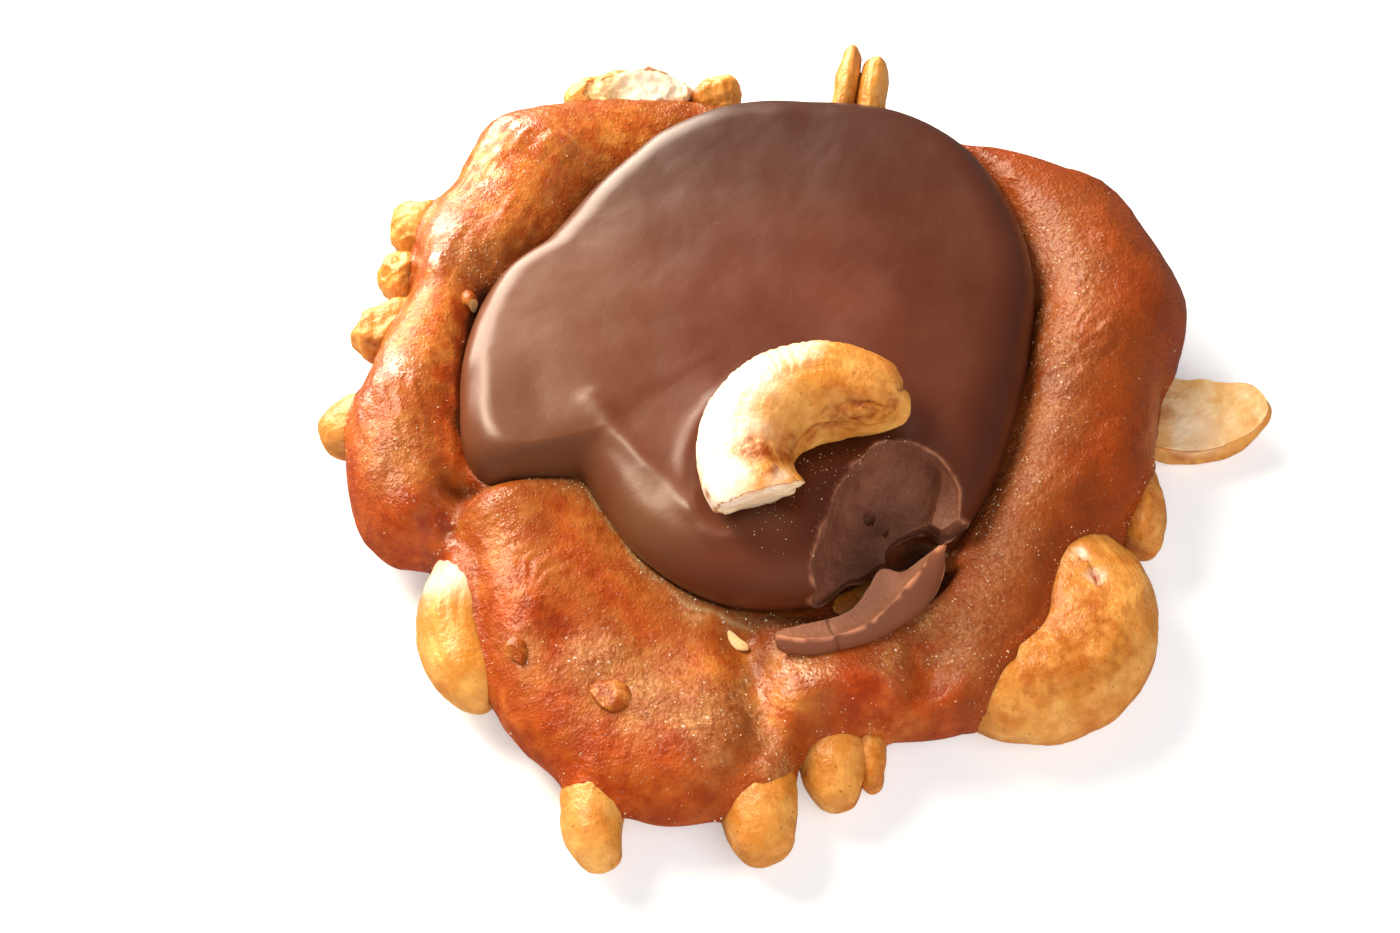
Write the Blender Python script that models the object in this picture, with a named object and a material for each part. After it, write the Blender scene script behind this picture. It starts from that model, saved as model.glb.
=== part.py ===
"""Chocolate cashew patty.

A lump of caramel, poured over cashews so that they stick out round its rim, carries a disc of
milk chocolate with one cashew on it. The chocolate is broken at its front right, and the shard
that came off lies in front of the break.

The origin is on the floor under the patty. +X is to the right, +Y is to the back, +Z is up.
Sizes in this file are in millimetres, and MM turns them to metres.
"""

import functools
import math
from typing import NamedTuple

import bmesh
import bpy
from mathutils import Matrix, Vector

MM = 0.001
GAP = 0.33

# The point that both pours spread from, as (x, y)
POUR = (0.0, 8.0)

# Chocolate disc: how far its edge is from POUR, as (degrees, mm), counted from +X towards +Y
CHOCOLATE_EDGE = (
    (4, 23.9),
    (19, 26.0),
    (35, 28.2),
    (50, 30.1),
    (66, 30.4),
    (80, 29.2),
    (95, 28.3),
    (109, 26.7),
    (122, 24.6),
    (146, 22.7),
    (160, 24.7),
    (175, 25.7),
    (190, 26.5),
    (203, 27.3),
    (209, 26.0),
    (213, 22.2),
    (217, 19.8),
    (227, 20.2),
    (243, 22.5),
    (266, 25.0),
    (307, 25.1),
    (325, 23.8),
    (345, 23.0),
)
CHOCOLATE_BOTTOM = 8.3
CHOCOLATE_WIDEST = 10.0
CHOCOLATE_TOP = 14.0
CHOCOLATE_DOME = 0.7
CHOCOLATE_ROUND = 5.5
CHOCOLATE_TUCK = 1.2
CHOCOLATE_SEGMENTS = 72

# Caramel: how far its rim is from POUR, as (degrees, mm)
CARAMEL_REACH = (
    (0, 36.0),
    (12, 38.9),
    (27, 39.3),
    (38, 37.0),
    (47, 34.2),
    (54, 31.5),
    (75, 31.0),
    (95, 31.0),
    (108, 33.5),
    (130, 37.8),
    (141, 35.6),
    (151, 35.2),
    (164, 32.6),
    (175, 33.8),
    (190, 36.8),
    (206, 37.0),
    (213, 33.2),
    (218, 32.8),
    (228, 36.0),
    (240, 40.8),
    (257, 43.8),
    (264, 42.8),
    (271, 39.9),
    (276, 36.4),
    (283, 36.0),
    (296, 38.0),
    (304, 37.6),
    (312, 36.0),
    (318, 33.6),
    (325, 32.4),
    (332, 33.9),
    (340, 35.5),
    (350, 35.3),
)
# Caramel's section, as (degrees, crest height, where the crest lies between the chocolate at 0 and
# the rim at 1, height beside the chocolate, height of the rim's widest line, height of its underside)
CARAMEL_SHAPE = (
    (0, 12.2, 0.38, 9.6, 4.6, 0.6),
    (35, 12.0, 0.40, 9.6, 5.0, 0.8),
    (55, 10.5, 0.45, 9.2, 5.2, 1.2),
    (80, 9.2, 0.40, 9.0, 5.2, 1.5),
    (105, 9.6, 0.45, 9.0, 5.5, 1.5),
    (130, 12.2, 0.45, 9.6, 5.5, 2.0),
    (160, 12.2, 0.42, 9.8, 5.5, 2.2),
    (185, 12.0, 0.40, 9.8, 5.5, 2.2),
    (205, 11.0, 0.45, 9.4, 5.0, 2.0),
    (220, 10.4, 0.30, 9.8, 5.0, 2.4),
    (240, 9.8, 0.30, 9.0, 4.6, 2.6),
    (260, 9.2, 0.35, 8.7, 4.4, 2.6),
    (272, 8.8, 0.40, 8.6, 4.2, 2.4),
    (290, 9.6, 0.55, 8.4, 4.6, 2.2),
    (310, 9.8, 0.50, 8.4, 4.4, 1.6),
    (335, 11.4, 0.42, 9.2, 4.4, 0.8),
)
CARAMEL_SEAT = CHOCOLATE_BOTTOM - GAP
CARAMEL_FLATNESS = 2.5
CARAMEL_TUCK = 3.0
CARAMEL_UNDERCUT = 4.5
CARAMEL_SEGMENTS = 84

# Swells and hollows of the caramel's top, as (x, y, radius, height)
CARAMEL_BUMPS = (
    (-20.7, 32.5, 6.0, 1.0),
    (-29.8, 18.6, 4.0, 0.8),
    (-20.6, -5.8, 4.0, 0.9),
    (-20.0, -17.0, 6.0, 0.6),
    (-9.4, -21.0, 6.0, -1.0),
    (-5.2, -28.3, 5.0, 0.5),
    (6.4, -25.4, 4.5, 1.2),
    (34.0, 12.0, 7.0, 0.8),
    (30.0, -2.5, 5.0, -0.5),
)
# Creases between the caramel's folds, as (start, end, width, depth)
CARAMEL_CREASES = (
    ((-25.4, -4.6), (-28.6, -12.3), 1.8, 2.4),
    ((-1.4, -19.2), (0.6, -32.8), 1.9, 1.5),
    ((14.5, -20.9), (12.5, -29.1), 2.2, 1.8),
)
# Creases of the chocolate's top, in the same form
CHOCOLATE_CREASES = (((-16.0, -4.5), (-19.0, 0.5), 2.4, 1.0),)


class Nut(NamedTuple):
    """A cashew, or a piece of one, as a rounded bar bent to an arch.

    centre is the centre of the bend, and turn is in degrees about X, Y and Z, with Z first. Unturned,
    the arch stands in the XY plane and bulges to +Y. width and depth are half sizes, across the bar in
    the plane of the arch and at right angles to it. taper makes the +X end thicker and the -X end
    thinner, and groove is the depth of the hollow on the inner side, both as shares of the width. cuts
    are planes that a piece is broken off at, as (point, direction that is lost), in the unturned arch.
    """

    name: str
    centre: tuple
    turn: tuple
    bend: float
    sweep: float
    width: float
    depth: float
    taper: float = 0.12
    groove: float = 0.22
    rings: int = 10
    cuts: tuple = ()


LIES_ON_CHOCOLATE = (
    Nut(
        "cashew_top",
        centre=(5.7, -7.4, 17.9),
        turn=(0, 0, 62),
        bend=7.0,
        sweep=228,
        width=4.4,
        depth=4.1,
        taper=0.15,
        rings=14,
        cuts=(((-6.6, 2.7, 0.0), (-0.42, -0.83, -0.37)),),
    ),
)
SET_IN_CARAMEL = (
    Nut("cashew_front_right", (22.4, -14.7, 5.1), (6, 0, -128), 6.5, 218, 5.4, 4.3, rings=14),
    Nut(
        "cashew_right",
        centre=(38.8, 16.3, 6.0),
        turn=(12, 0, 169),
        bend=9.0,
        sweep=108,
        width=3.9,
        depth=3.9,
        cuts=(((0, 0, 0), (0, 0, 1)),),
    ),
    Nut("cashew_right_low", (19.2, -4.6, 3.9), (0, 0, -77), 14.0, 49, 2.3, 3.6),
    Nut("cashew_front_left", (-6.4, -34.1, 3.7), (0, 0, 72), 7.6, 105, 3.1, 3.3),
    Nut("cashew_front_middle", (19.8, -31.6, 3.8), (0, 0, 93), 20.0, 30, 3.6, 3.5),
    Nut("cashew_front_centre", (36.0, -26.2, 3.7), (0, 0, 91), 30.0, 22, 2.7, 3.4),
    Nut("cashew_front_centre_half", (39.4, -26.0, 3.8), (0, 0, 91), 30.0, 18, 0.95, 3.1),
    Nut("cashew_left_front", (-17.3, -16.0, 4.4), (0, 0, 82), 8.7, 120, 3.6, 4.0),
    Nut("cashew_left", (-31.0, -12.9, 5.2), (0, 0, 0), 18.0, 50, 3.7, 3.6),
    Nut("cashew_left_back_low", (-28.8, -1.2, 6.2), (0, 0, 8), 16.0, 38, 3.0, 3.0),
    Nut("cashew_left_back_middle", (-22.6, 20.2, 6.4), (0, 0, 90), 9.5, 24, 1.9, 2.6),
    Nut("cashew_left_back_high", (-18.0, 25.3, 7.0), (0, 0, 90), 12.5, 24, 2.7, 2.6),
    Nut("cashew_back_left", (-11.8, 26.3, 8.2), (0, 0, 0), 14.0, 46, 2.4, 2.7),
    Nut("cashew_back_left_end", (-3.6, 29.9, 8.2), (0, 0, 0), 10.0, 25, 2.2, 2.4),
    Nut("cashew_back_blade", (8.2, 45.0, -2.0), (115, 79, 0), 12.0, 48, 2.3, 0.9),
    Nut("cashew_back_half", (11.0, 44.4, -2.4), (115, 82, 0), 12.0, 38, 2.5, 1.3),
    Nut("cashew_under_break", (-1.0, 2.5, 4.8), (0, 0, 208), 20.0, 42, 2.8, 3.0),
)
NUT_SIDES = 12
NUT_BLUNTNESS = 0.55
GROOVE_SPREAD = 0.4

# Scoops that break the chocolate open, as (centre, half sizes, turn about Z in degrees)
BREAK_SCOOPS = (
    ((9.9, -12.3, 15.6), (4.1, 9.6, 6.5), -21),
    ((15.4, -10.4, 15.0), (4.4, 6.8, 5.4), 20),
    ((14.0, -16.9, 10.0), (11.0, 5.2, 8.0), 29),
)
# Hollow in the caramel under the break, in the same form
CARAMEL_HOLLOW = ((11.5, -13.4, 10.3), (6.6, 3.6, 3.4), 29)

# Shard: a sliver bent like the chocolate's edge, with its upper inner side scooped out
SHARD = Nut("chocolate_shard", (1.7, -6.3, 9.9), (0, 0, -147), 14.4, 70, 2.2, 2.0, groove=0)
SHARD_SCOOPS = (
    ((5.6, -15.8, 13.2), (7.0, 4.6, 3.2), 24),
    ((12.4, -11.6, 12.2), (3.2, 3.2, 3.0), 40),
    ((3.6, -16.8, 9.8), (5.0, 1.9, 3.4), 6),
)

# Crumbs of cashew stuck on the caramel, as (x, y, half sizes, turn about Z in degrees)
CRUMBS = (
    (-20.6, -20.9, (0.8, 1.3, 0.9), 10),
    (-12.9, -25.1, (1.9, 1.6, 1.0), -25),
    (-2.4, -18.9, (1.5, 0.6, 0.8), -35),
    (-25.6, 14.0, (0.6, 0.9, 0.8), 15),
)


def around(table, degrees, column=1):
    """Reads a smooth value at an angle from rows that go once round from 0 to 360 degrees."""
    rows = [(row[0] + turn, row[column]) for turn in (-360, 0, 360) for row in table]
    degrees %= 360
    after = next(i for i, row in enumerate(rows) if row[0] > degrees)
    (angle0, value0), (angle1, value1), (angle2, value2), (angle3, value3) = rows[after - 2 : after + 2]
    span = angle2 - angle1
    share = (degrees - angle1) / span
    leave = (value2 - value0) / (angle2 - angle0) * span
    arrive = (value3 - value1) / (angle3 - angle1) * span
    rise = value2 - value1
    return value1 + share * (leave + share * (3 * rise - 2 * leave - arrive + share * (leave + arrive - 2 * rise)))


def ease(share):
    """A soft step from 0 to 1."""
    share = max(0.0, min(1.0, share))
    return share * share * (3 - 2 * share)


def swell(x, y, bumps):
    """Height of all the bumps at a point."""
    return sum(
        height * math.exp(-((x - bump_x) ** 2 + (y - bump_y) ** 2) / radius**2)
        for bump_x, bump_y, radius, height in bumps
    )


def sink(x, y, creases):
    """Depth of all the creases at a point."""
    total = 0.0
    for start, end, width, depth in creases:
        run = (end[0] - start[0], end[1] - start[1])
        length = math.hypot(*run)
        share = ((x - start[0]) * run[0] + (y - start[1]) * run[1]) / length**2
        share = max(0.0, min(1.0, share))
        away = math.hypot(x - start[0] - share * run[0], y - start[1] - share * run[1])
        total += depth * math.exp(-((away / width) ** 2))
    return total


def on_pour(degrees, radius):
    """The point (x, y) at an angle and distance from POUR."""
    angle = math.radians(degrees)
    return POUR[0] + radius * math.cos(angle), POUR[1] + radius * math.sin(angle)


def quarter(start, corner, end, steps, power=2.0):
    """Points on a rounded quarter from start to end, both (radius, height), that bulges to corner."""
    points = []
    for step in range(1, steps + 1):
        angle = math.pi / 2 * step / steps
        along = math.sin(angle) ** (2 / power)
        down = 1 - max(0.0, math.cos(angle)) ** (2 / power)
        points.append(
            (
                start[0] + (corner[0] - start[0]) * along + (end[0] - corner[0]) * down,
                start[1] + (corner[1] - start[1]) * along + (end[1] - corner[1]) * down,
            )
        )
    return points


@functools.lru_cache(maxsize=None)
def chocolate_section(degrees):
    """The chocolate's section at an angle, from the middle of its top to the middle of its bottom."""
    edge = around(CHOCOLATE_EDGE, degrees)
    flat = edge - CHOCOLATE_ROUND
    shoulder = (flat, CHOCOLATE_TOP)
    points = [(flat * share, CHOCOLATE_TOP) for share in (0, 0.25, 0.5, 0.75, 1)]
    points += quarter(shoulder, (edge, CHOCOLATE_TOP), (edge, CHOCOLATE_WIDEST), 6, power=2.3)
    foot = (edge - CHOCOLATE_TUCK, CHOCOLATE_BOTTOM)
    points += quarter((edge, CHOCOLATE_WIDEST), (edge, CHOCOLATE_BOTTOM), foot, 2)
    points += [(foot[0] * share, CHOCOLATE_BOTTOM) for share in (0.6, 0.0)]
    shaped = []
    for radius, height in points:
        x, y = on_pour(degrees, radius)
        lift = CHOCOLATE_DOME * (1 - (radius / edge) ** 2) - sink(x, y, CHOCOLATE_CREASES)
        upper = ease((height - CHOCOLATE_WIDEST) / (CHOCOLATE_TOP - CHOCOLATE_WIDEST))
        shaped.append((radius, height + lift * upper))
    return shaped


@functools.lru_cache(maxsize=None)
def caramel_section(degrees):
    """The caramel's section at an angle, from the middle of its seat to the middle of its base."""
    crest, crest_share, lip, widest, under = (
        around(CARAMEL_SHAPE, degrees, column) for column in range(1, 6)
    )
    well = around(CHOCOLATE_EDGE, degrees) + GAP
    reach = around(CARAMEL_REACH, degrees)
    crest_radius = well + (reach - well) * crest_share
    points = [(well * share, CARAMEL_SEAT) for share in (0, 0.4, 0.75, 1)]
    for share in (0.02, 0.3, 0.65, 1.0):
        radius = well + (crest_radius - well) * share
        points.append((radius, lip + (crest - lip) * ease(share)))
    first_free = len(points) - 3
    corner = (reach, crest)
    points += quarter((crest_radius, crest), corner, (reach, widest), 7, power=CARAMEL_FLATNESS)
    last_free = len(points) - 2
    tuck = (reach - CARAMEL_TUCK, under)
    points += quarter((reach, widest), (reach, under), tuck, 3)
    foot = tuck[0] - CARAMEL_UNDERCUT
    points += [(foot * share, 0.0) for share in (1, 0.6, 0.25, 0)]
    for index in range(first_free, last_free):
        radius, height = points[index]
        x, y = on_pour(degrees, radius)
        free = ease((reach - radius) / CARAMEL_TUCK)
        relief = swell(x, y, CARAMEL_BUMPS) - sink(x, y, CARAMEL_CREASES)
        points[index] = (radius, height + free * relief)
    return points


def caramel_top(x, y):
    """Height of the caramel's upper surface at a point beside the chocolate."""
    degrees = math.degrees(math.atan2(y - POUR[1], x - POUR[0]))
    distance = math.hypot(x - POUR[0], y - POUR[1])
    section = caramel_section(round(degrees % 360, 3))
    inner, outer = next(
        pair for pair in zip(section, section[1:]) if pair[0][0] <= distance <= pair[1][0]
    )
    share = (distance - inner[0]) / (outer[0] - inner[0])
    return inner[1] + (outer[1] - inner[1]) * share


def material(name, colour, roughness):
    """A plain food surface of one colour, given as linear red, green and blue."""
    made = bpy.data.materials.new(name)
    made.use_nodes = True
    shader = made.node_tree.nodes["Principled BSDF"]
    shader.inputs["Base Color"].default_value = (*colour, 1)
    shader.inputs["Roughness"].default_value = roughness
    shader.inputs["Metallic"].default_value = 0
    made.diffuse_color = (*colour, 1)
    return made


def face_outwards(shape):
    """Turns all faces of a closed shape outwards and works out its normals."""
    shape.normal_update()
    bmesh.ops.recalc_face_normals(shape, faces=shape.faces)
    shape.normal_update()


def new_object(name, shape, collection):
    """Makes an object of a bmesh whose points are in millimetres."""
    bmesh.ops.scale(shape, vec=(MM, MM, MM), verts=shape.verts)
    face_outwards(shape)
    mesh = bpy.data.meshes.new(name)
    shape.to_mesh(mesh)
    shape.free()
    made = bpy.data.objects.new(name, mesh)
    collection.objects.link(made)
    return made


def poured_shape(section, segments):
    """A closed body round POUR, from a UV sphere whose rings follow a section at each angle."""
    rings = len(section(0)) - 1
    shape = bmesh.new()
    bmesh.ops.create_uvsphere(shape, u_segments=segments, v_segments=rings, radius=1)
    for point in shape.verts:
        degrees = round(math.degrees(math.atan2(point.co.y, point.co.x)) % 360, 3)
        ring = round(math.acos(max(-1.0, min(1.0, point.co.z))) / math.pi * rings)
        radius, height = section(degrees)[ring]
        point.co = (*on_pour(degrees, radius), height)
    return shape


def nut_shape(nut, grow=0.0):
    """A nut from a UV sphere drawn out along its arch. grow pushes its whole surface out."""
    shape = bmesh.new()
    bmesh.ops.create_uvsphere(shape, u_segments=NUT_SIDES, v_segments=nut.rings, radius=1)
    half_sweep = math.radians(nut.sweep) / 2
    for point in shape.verts:
        along = max(-1.0, min(1.0, point.co.z))
        side = math.atan2(point.co.y, point.co.x)
        girth = max(0.0, 1 - along**2) ** (NUT_BLUNTNESS / 2) * (1 + nut.taper * along)
        inward = math.pi - abs(side)
        girth *= 1 - nut.groove * math.exp(-((inward / GROOVE_SPREAD) ** 2))
        radius = nut.bend + nut.width * girth * math.cos(side)
        angle = half_sweep * along
        point.co = (
            radius * math.sin(angle),
            radius * math.cos(angle),
            nut.depth * girth * math.sin(side),
        )
    for place, lost in nut.cuts:
        everything = shape.verts[:] + shape.edges[:] + shape.faces[:]
        cut = bmesh.ops.bisect_plane(shape, geom=everything, plane_co=place, plane_no=lost, clear_outer=True)
        rim = [piece for piece in cut["geom_cut"] if isinstance(piece, bmesh.types.BMEdge)]
        bmesh.ops.contextual_create(shape, geom=rim)
    if grow:
        face_outwards(shape)
        moves = [(point, point.normal * grow) for point in shape.verts]
        for point, move in moves:
            point.co += move
    turn = Matrix.Identity(3)
    for axis, degrees in zip("XYZ", nut.turn):
        turn = turn @ Matrix.Rotation(math.radians(degrees), 3, axis)
    bmesh.ops.transform(shape, matrix=Matrix.Translation(nut.centre) @ turn.to_4x4(), verts=shape.verts)
    return shape


def scoop_shape(centre, half_sizes, degrees):
    """An egg-shaped cutter."""
    shape = bmesh.new()
    bmesh.ops.create_uvsphere(shape, u_segments=20, v_segments=12, radius=1)
    stretch = Matrix.Diagonal((*half_sizes, 1))
    turn = Matrix.Rotation(math.radians(degrees), 4, "Z")
    bmesh.ops.transform(shape, matrix=Matrix.Translation(centre) @ turn @ stretch, verts=shape.verts)
    return shape


def crumb_shape(x, y, half_sizes, degrees):
    """An angular crumb, half sunk in the caramel."""
    shape = bmesh.new()
    bmesh.ops.create_icosphere(shape, subdivisions=1, radius=1)
    stretch = Matrix.Diagonal((*half_sizes, 1))
    turn = Matrix.Rotation(math.radians(degrees), 4, "Z")
    centre = (x, y, caramel_top(x, y))
    bmesh.ops.transform(shape, matrix=Matrix.Translation(centre) @ turn @ stretch, verts=shape.verts)
    return shape


def keep_largest(shape):
    """Drops the scraps that a cut leaves, so that one body is left."""
    left = set(shape.faces)
    bodies = []
    while left:
        reached = {left.pop()}
        front = list(reached)
        while front:
            face = front.pop()
            for edge in face.edges:
                for other in edge.link_faces:
                    if other in left:
                        left.remove(other)
                        reached.add(other)
                        front.append(other)
        bodies.append(reached)
    scraps = [face for body in sorted(bodies, key=len)[:-1] for face in body]
    bmesh.ops.delete(shape, geom=scraps, context="FACES")


def apply_booleans(target):
    """Applies the target's Booleans and keeps the largest body."""
    graph = bpy.context.evaluated_depsgraph_get()
    graph.update()
    mesh = bpy.data.meshes.new_from_object(target.evaluated_get(graph))
    target.modifiers.clear()
    target.data = mesh
    shape = bmesh.new()
    shape.from_mesh(mesh)
    keep_largest(shape)
    shape.to_mesh(mesh)
    shape.free()


def join_all(target, collection):
    """Joins a collection's objects to the target, and removes them."""
    union = target.modifiers.new("join", "BOOLEAN")
    union.operation = "UNION"
    union.operand_type = "COLLECTION"
    union.collection = collection
    apply_booleans(target)
    for joined in list(collection.objects):
        bpy.data.objects.remove(joined)
    bpy.data.collections.remove(collection)


def cut_all(target, collection):
    """Cuts a collection's objects out of the target, one after the other."""
    for cutter in collection.objects:
        cut = target.modifiers.new("cut", "BOOLEAN")
        cut.operation = "DIFFERENCE"
        cut.object = cutter
    apply_booleans(target)


def helper_collection(name, parent, shapes):
    """A collection of cutters, which a render leaves out."""
    collection = bpy.data.collections.new(name)
    parent.children.link(collection)
    for index, shape in enumerate(shapes):
        helper = new_object(f"{name}_{index}", shape, collection)
        helper.hide_render = True
        helper.display_type = "WIRE"
    return collection


def finish(target, surface, sharp_degrees):
    """Gives a piece its material and its smooth shading."""
    target.data.materials.clear()
    target.data.materials.append(surface)
    target.data.shade_smooth()
    target.data.set_sharp_from_angle(angle=math.radians(sharp_degrees))


def main():
    for old in list(bpy.data.objects):
        bpy.data.objects.remove(old)
    patty = bpy.data.collections.new("chocolate_cashew_patty")
    cutters = bpy.data.collections.new("cutters")
    for collection in (patty, cutters):
        bpy.context.scene.collection.children.link(collection)

    milk_chocolate = material("milk_chocolate", (0.20, 0.075, 0.042), 0.38)
    soft_caramel = material("soft_caramel", (0.46, 0.12, 0.032), 0.35)
    roasted_cashew = material("roasted_cashew", (0.78, 0.45, 0.16), 0.5)

    chocolate = new_object("chocolate", poured_shape(chocolate_section, CHOCOLATE_SEGMENTS), patty)
    bites = [scoop_shape(*scoop) for scoop in BREAK_SCOOPS]
    bites += [nut_shape(nut, GAP) for nut in LIES_ON_CHOCOLATE]
    cut_all(chocolate, helper_collection("chocolate_cutters", cutters, bites))
    finish(chocolate, milk_chocolate, 40)

    shard = new_object(SHARD.name, nut_shape(SHARD), patty)
    bites = [scoop_shape(*scoop) for scoop in SHARD_SCOOPS]
    cut_all(shard, helper_collection("shard_cutters", cutters, bites))
    finish(shard, milk_chocolate, 30)

    caramel = new_object("caramel", poured_shape(caramel_section, CARAMEL_SEGMENTS), patty)
    join_all(caramel, helper_collection("crumbs", cutters, [crumb_shape(*crumb) for crumb in CRUMBS]))
    pockets = [nut_shape(nut, GAP) for nut in SET_IN_CARAMEL]
    pockets += [nut_shape(SHARD, GAP), scoop_shape(*CARAMEL_HOLLOW)]
    cut_all(caramel, helper_collection("caramel_cutters", cutters, pockets))
    finish(caramel, soft_caramel, 45)

    for nut in LIES_ON_CHOCOLATE + SET_IN_CARAMEL:
        finish(new_object(nut.name, nut_shape(nut), patty), roasted_cashew, 40)


main()
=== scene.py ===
"""Looks of the chocolate cashew patty.

A lump of cooked caramel, poured over roasted cashews, carries a disc of milk chocolate with one
cashew on it. The chocolate is broken at its front right, and a shard of it lies before the break.

Sizes are in millimetres and MM turns them to metres. +X is to the right and +Y is to the back.
"""

import logging
import math
from dataclasses import dataclass
from enum import Enum

import bpy
import numpy as np
from bpy.types import Material, NodeSocket, Object
from mathutils import Matrix, Vector, kdtree, noise
from mathutils.bvhtree import BVHTree


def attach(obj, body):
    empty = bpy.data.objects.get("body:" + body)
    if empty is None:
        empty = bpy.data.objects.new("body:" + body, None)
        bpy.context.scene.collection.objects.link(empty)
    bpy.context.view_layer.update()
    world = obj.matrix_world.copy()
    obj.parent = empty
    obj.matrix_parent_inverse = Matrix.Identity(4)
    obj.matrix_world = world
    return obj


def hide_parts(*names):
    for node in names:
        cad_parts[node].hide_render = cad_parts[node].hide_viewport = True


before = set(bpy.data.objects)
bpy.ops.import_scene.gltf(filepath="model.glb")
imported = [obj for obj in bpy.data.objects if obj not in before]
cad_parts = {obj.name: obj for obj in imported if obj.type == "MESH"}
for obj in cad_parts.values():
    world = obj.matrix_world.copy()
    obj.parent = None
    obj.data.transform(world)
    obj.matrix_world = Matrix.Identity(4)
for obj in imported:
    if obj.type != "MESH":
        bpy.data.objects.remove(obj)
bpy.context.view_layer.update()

LOG = logging.getLogger("patty")
MM = 0.001
BODY = "root"

# Three values in millimetres: a point as (x, y, z), or half sizes along them
Place = tuple[float, float, float]

# How many parts each edge of a coarse ball is cut in
PARTS = 4

# The point that both pours spread from, as (x, y)
POUR = np.array((0.0, 8.0))

# Where nut dust lies on the chocolate, as (x, y, radius, strength)
DUSTY = ((1.6, -9.6, 2.6, 1.0), (4.6, -6.6, 1.5, 1.0), (8.2, -5.4, 1.4, 1.0), (10.6, -4.2, 1.0, 0.8))

# How far the chocolate's edge is from POUR, as (degrees, mm), counted from +X towards +Y
CHOCOLATE_EDGE = (
    (4, 23.9), (19, 26.0), (35, 28.2), (50, 30.1), (66, 30.4), (80, 29.2), (95, 28.3), (109, 26.7),
    (122, 24.6), (146, 22.7), (160, 24.7), (175, 25.7), (190, 26.5), (203, 27.3), (209, 26.0), (213, 22.2),
    (217, 19.8), (227, 20.2), (243, 22.5), (266, 25.0), (307, 25.1), (325, 23.8), (345, 23.0)
)
# How far the caramel's rim is from POUR, in the same form
CARAMEL_REACH = (
    (0, 35.7), (5, 37.3), (12, 39.4), (19, 39.5), (26, 39.2), (33, 38.8), (38, 37.2), (47, 34.2),
    (54, 31.5), (75, 31.0), (93, 31.0), (101, 32.6), (108, 33.7), (130, 37.8), (141, 35.6), (151, 35.2),
    (164, 32.6), (175, 33.8), (190, 36.8), (206, 37.0), (213, 33.2), (218, 32.8), (228, 36.0), (240, 40.8),
    (257, 43.8), (264, 42.8), (271, 39.9), (276, 36.4), (283, 36.0), (296, 38.0), (304, 37.6), (312, 36.0),
    (318, 33.6), (325, 32.4), (332, 33.9), (340, 35.5), (350, 35.3)
)
# The caramel's section, as (degrees, crest height, where the crest lies between chocolate and rim,
# height beside the chocolate, height of the rim's widest line, height of its underside)
CARAMEL_SHAPE = (
    (0, 12.2, 0.38, 9.6, 4.6, 0.6), (35, 12.0, 0.40, 9.6, 5.0, 0.8), (55, 10.5, 0.45, 9.2, 5.2, 1.2),
    (80, 9.2, 0.40, 9.0, 5.2, 1.5), (105, 9.6, 0.45, 9.0, 5.5, 1.5), (130, 12.2, 0.45, 9.6, 5.5, 2.0),
    (160, 12.2, 0.42, 9.8, 5.5, 2.2), (185, 12.0, 0.40, 9.8, 5.5, 2.2), (205, 11.0, 0.45, 9.4, 5.0, 2.0),
    (220, 10.4, 0.30, 9.8, 5.0, 2.4), (240, 9.8, 0.30, 9.0, 4.6, 2.6), (260, 9.2, 0.35, 8.7, 4.4, 2.6),
    (272, 8.8, 0.40, 8.6, 4.2, 2.4), (290, 9.6, 0.55, 8.4, 4.6, 2.2), (310, 9.8, 0.50, 8.4, 4.4, 1.6),
    (335, 11.4, 0.42, 9.2, 4.4, 0.8)
)


class Slot(Enum):
    """Material slots of the record."""

    CARAMEL = "caramel"
    CHOCOLATE = "chocolate"
    CASHEW = "cashew"


def srgb(code: str) -> tuple[float, float, float, float]:
    """Turns an sRGB hex code to a linear colour.

    Args:
        code: Six hex digits.

    Returns:
        Linear red, green, blue and an alpha of 1.
    """
    shares = [int(code[place : place + 2], 16) / 255 for place in (0, 2, 4)]
    red, green, blue = (
        share / 12.92 if share <= 0.04045 else ((share + 0.055) / 1.055) ** 2.4 for share in shares
    )
    return red, green, blue, 1.0


def per_mm(size: float) -> float:
    """Texture scale at which a pattern's features are about size millimetres."""
    return 1 / (size * MM)


def ease(share: np.ndarray) -> np.ndarray:
    """A soft step from 0 to 1."""
    share = np.clip(share, 0.0, 1.0)
    return share * share * (3 - 2 * share)


def fade(away: np.ndarray, width: float) -> np.ndarray:
    """1 where away is 0, and down to about a third where it is one width."""
    return np.exp(-((away / width) ** 2))


def around(table: tuple, degrees: np.ndarray, column: int = 1) -> np.ndarray:
    """Reads smooth values from rows that go once round.

    Args:
        table: Rows that start with an angle in degrees.
        degrees: Angles to read at.
        column: Which value of the rows to read.

    Returns:
        One value for each angle.
    """
    angles = np.array([row[0] + turn for turn in (-360, 0, 360) for row in table], float)
    values = np.array([row[column] for row in table] * 3, float)
    return through(angles, values, np.mod(degrees, 360))


def through(places: np.ndarray, values: np.ndarray, wanted: np.ndarray) -> np.ndarray:
    """Reads a smooth curve through known values.

    Args:
        places: Where the values are known, rising.
        values: The values there.
        wanted: Where the curve is read.

    Returns:
        One value for each wanted place.
    """
    slopes = np.gradient(values) / np.gradient(places)
    after = np.clip(np.searchsorted(places, wanted, side="right"), 1, len(places) - 1)
    before = after - 1
    span = places[after] - places[before]
    share = (wanted - places[before]) / span
    leave = slopes[before] * span
    arrive = slopes[after] * span
    rise = values[after] - values[before]
    bend = leave + arrive - 2 * rise
    return values[before] + share * (leave + share * (3 * rise - 2 * leave - arrive + share * bend))


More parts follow.
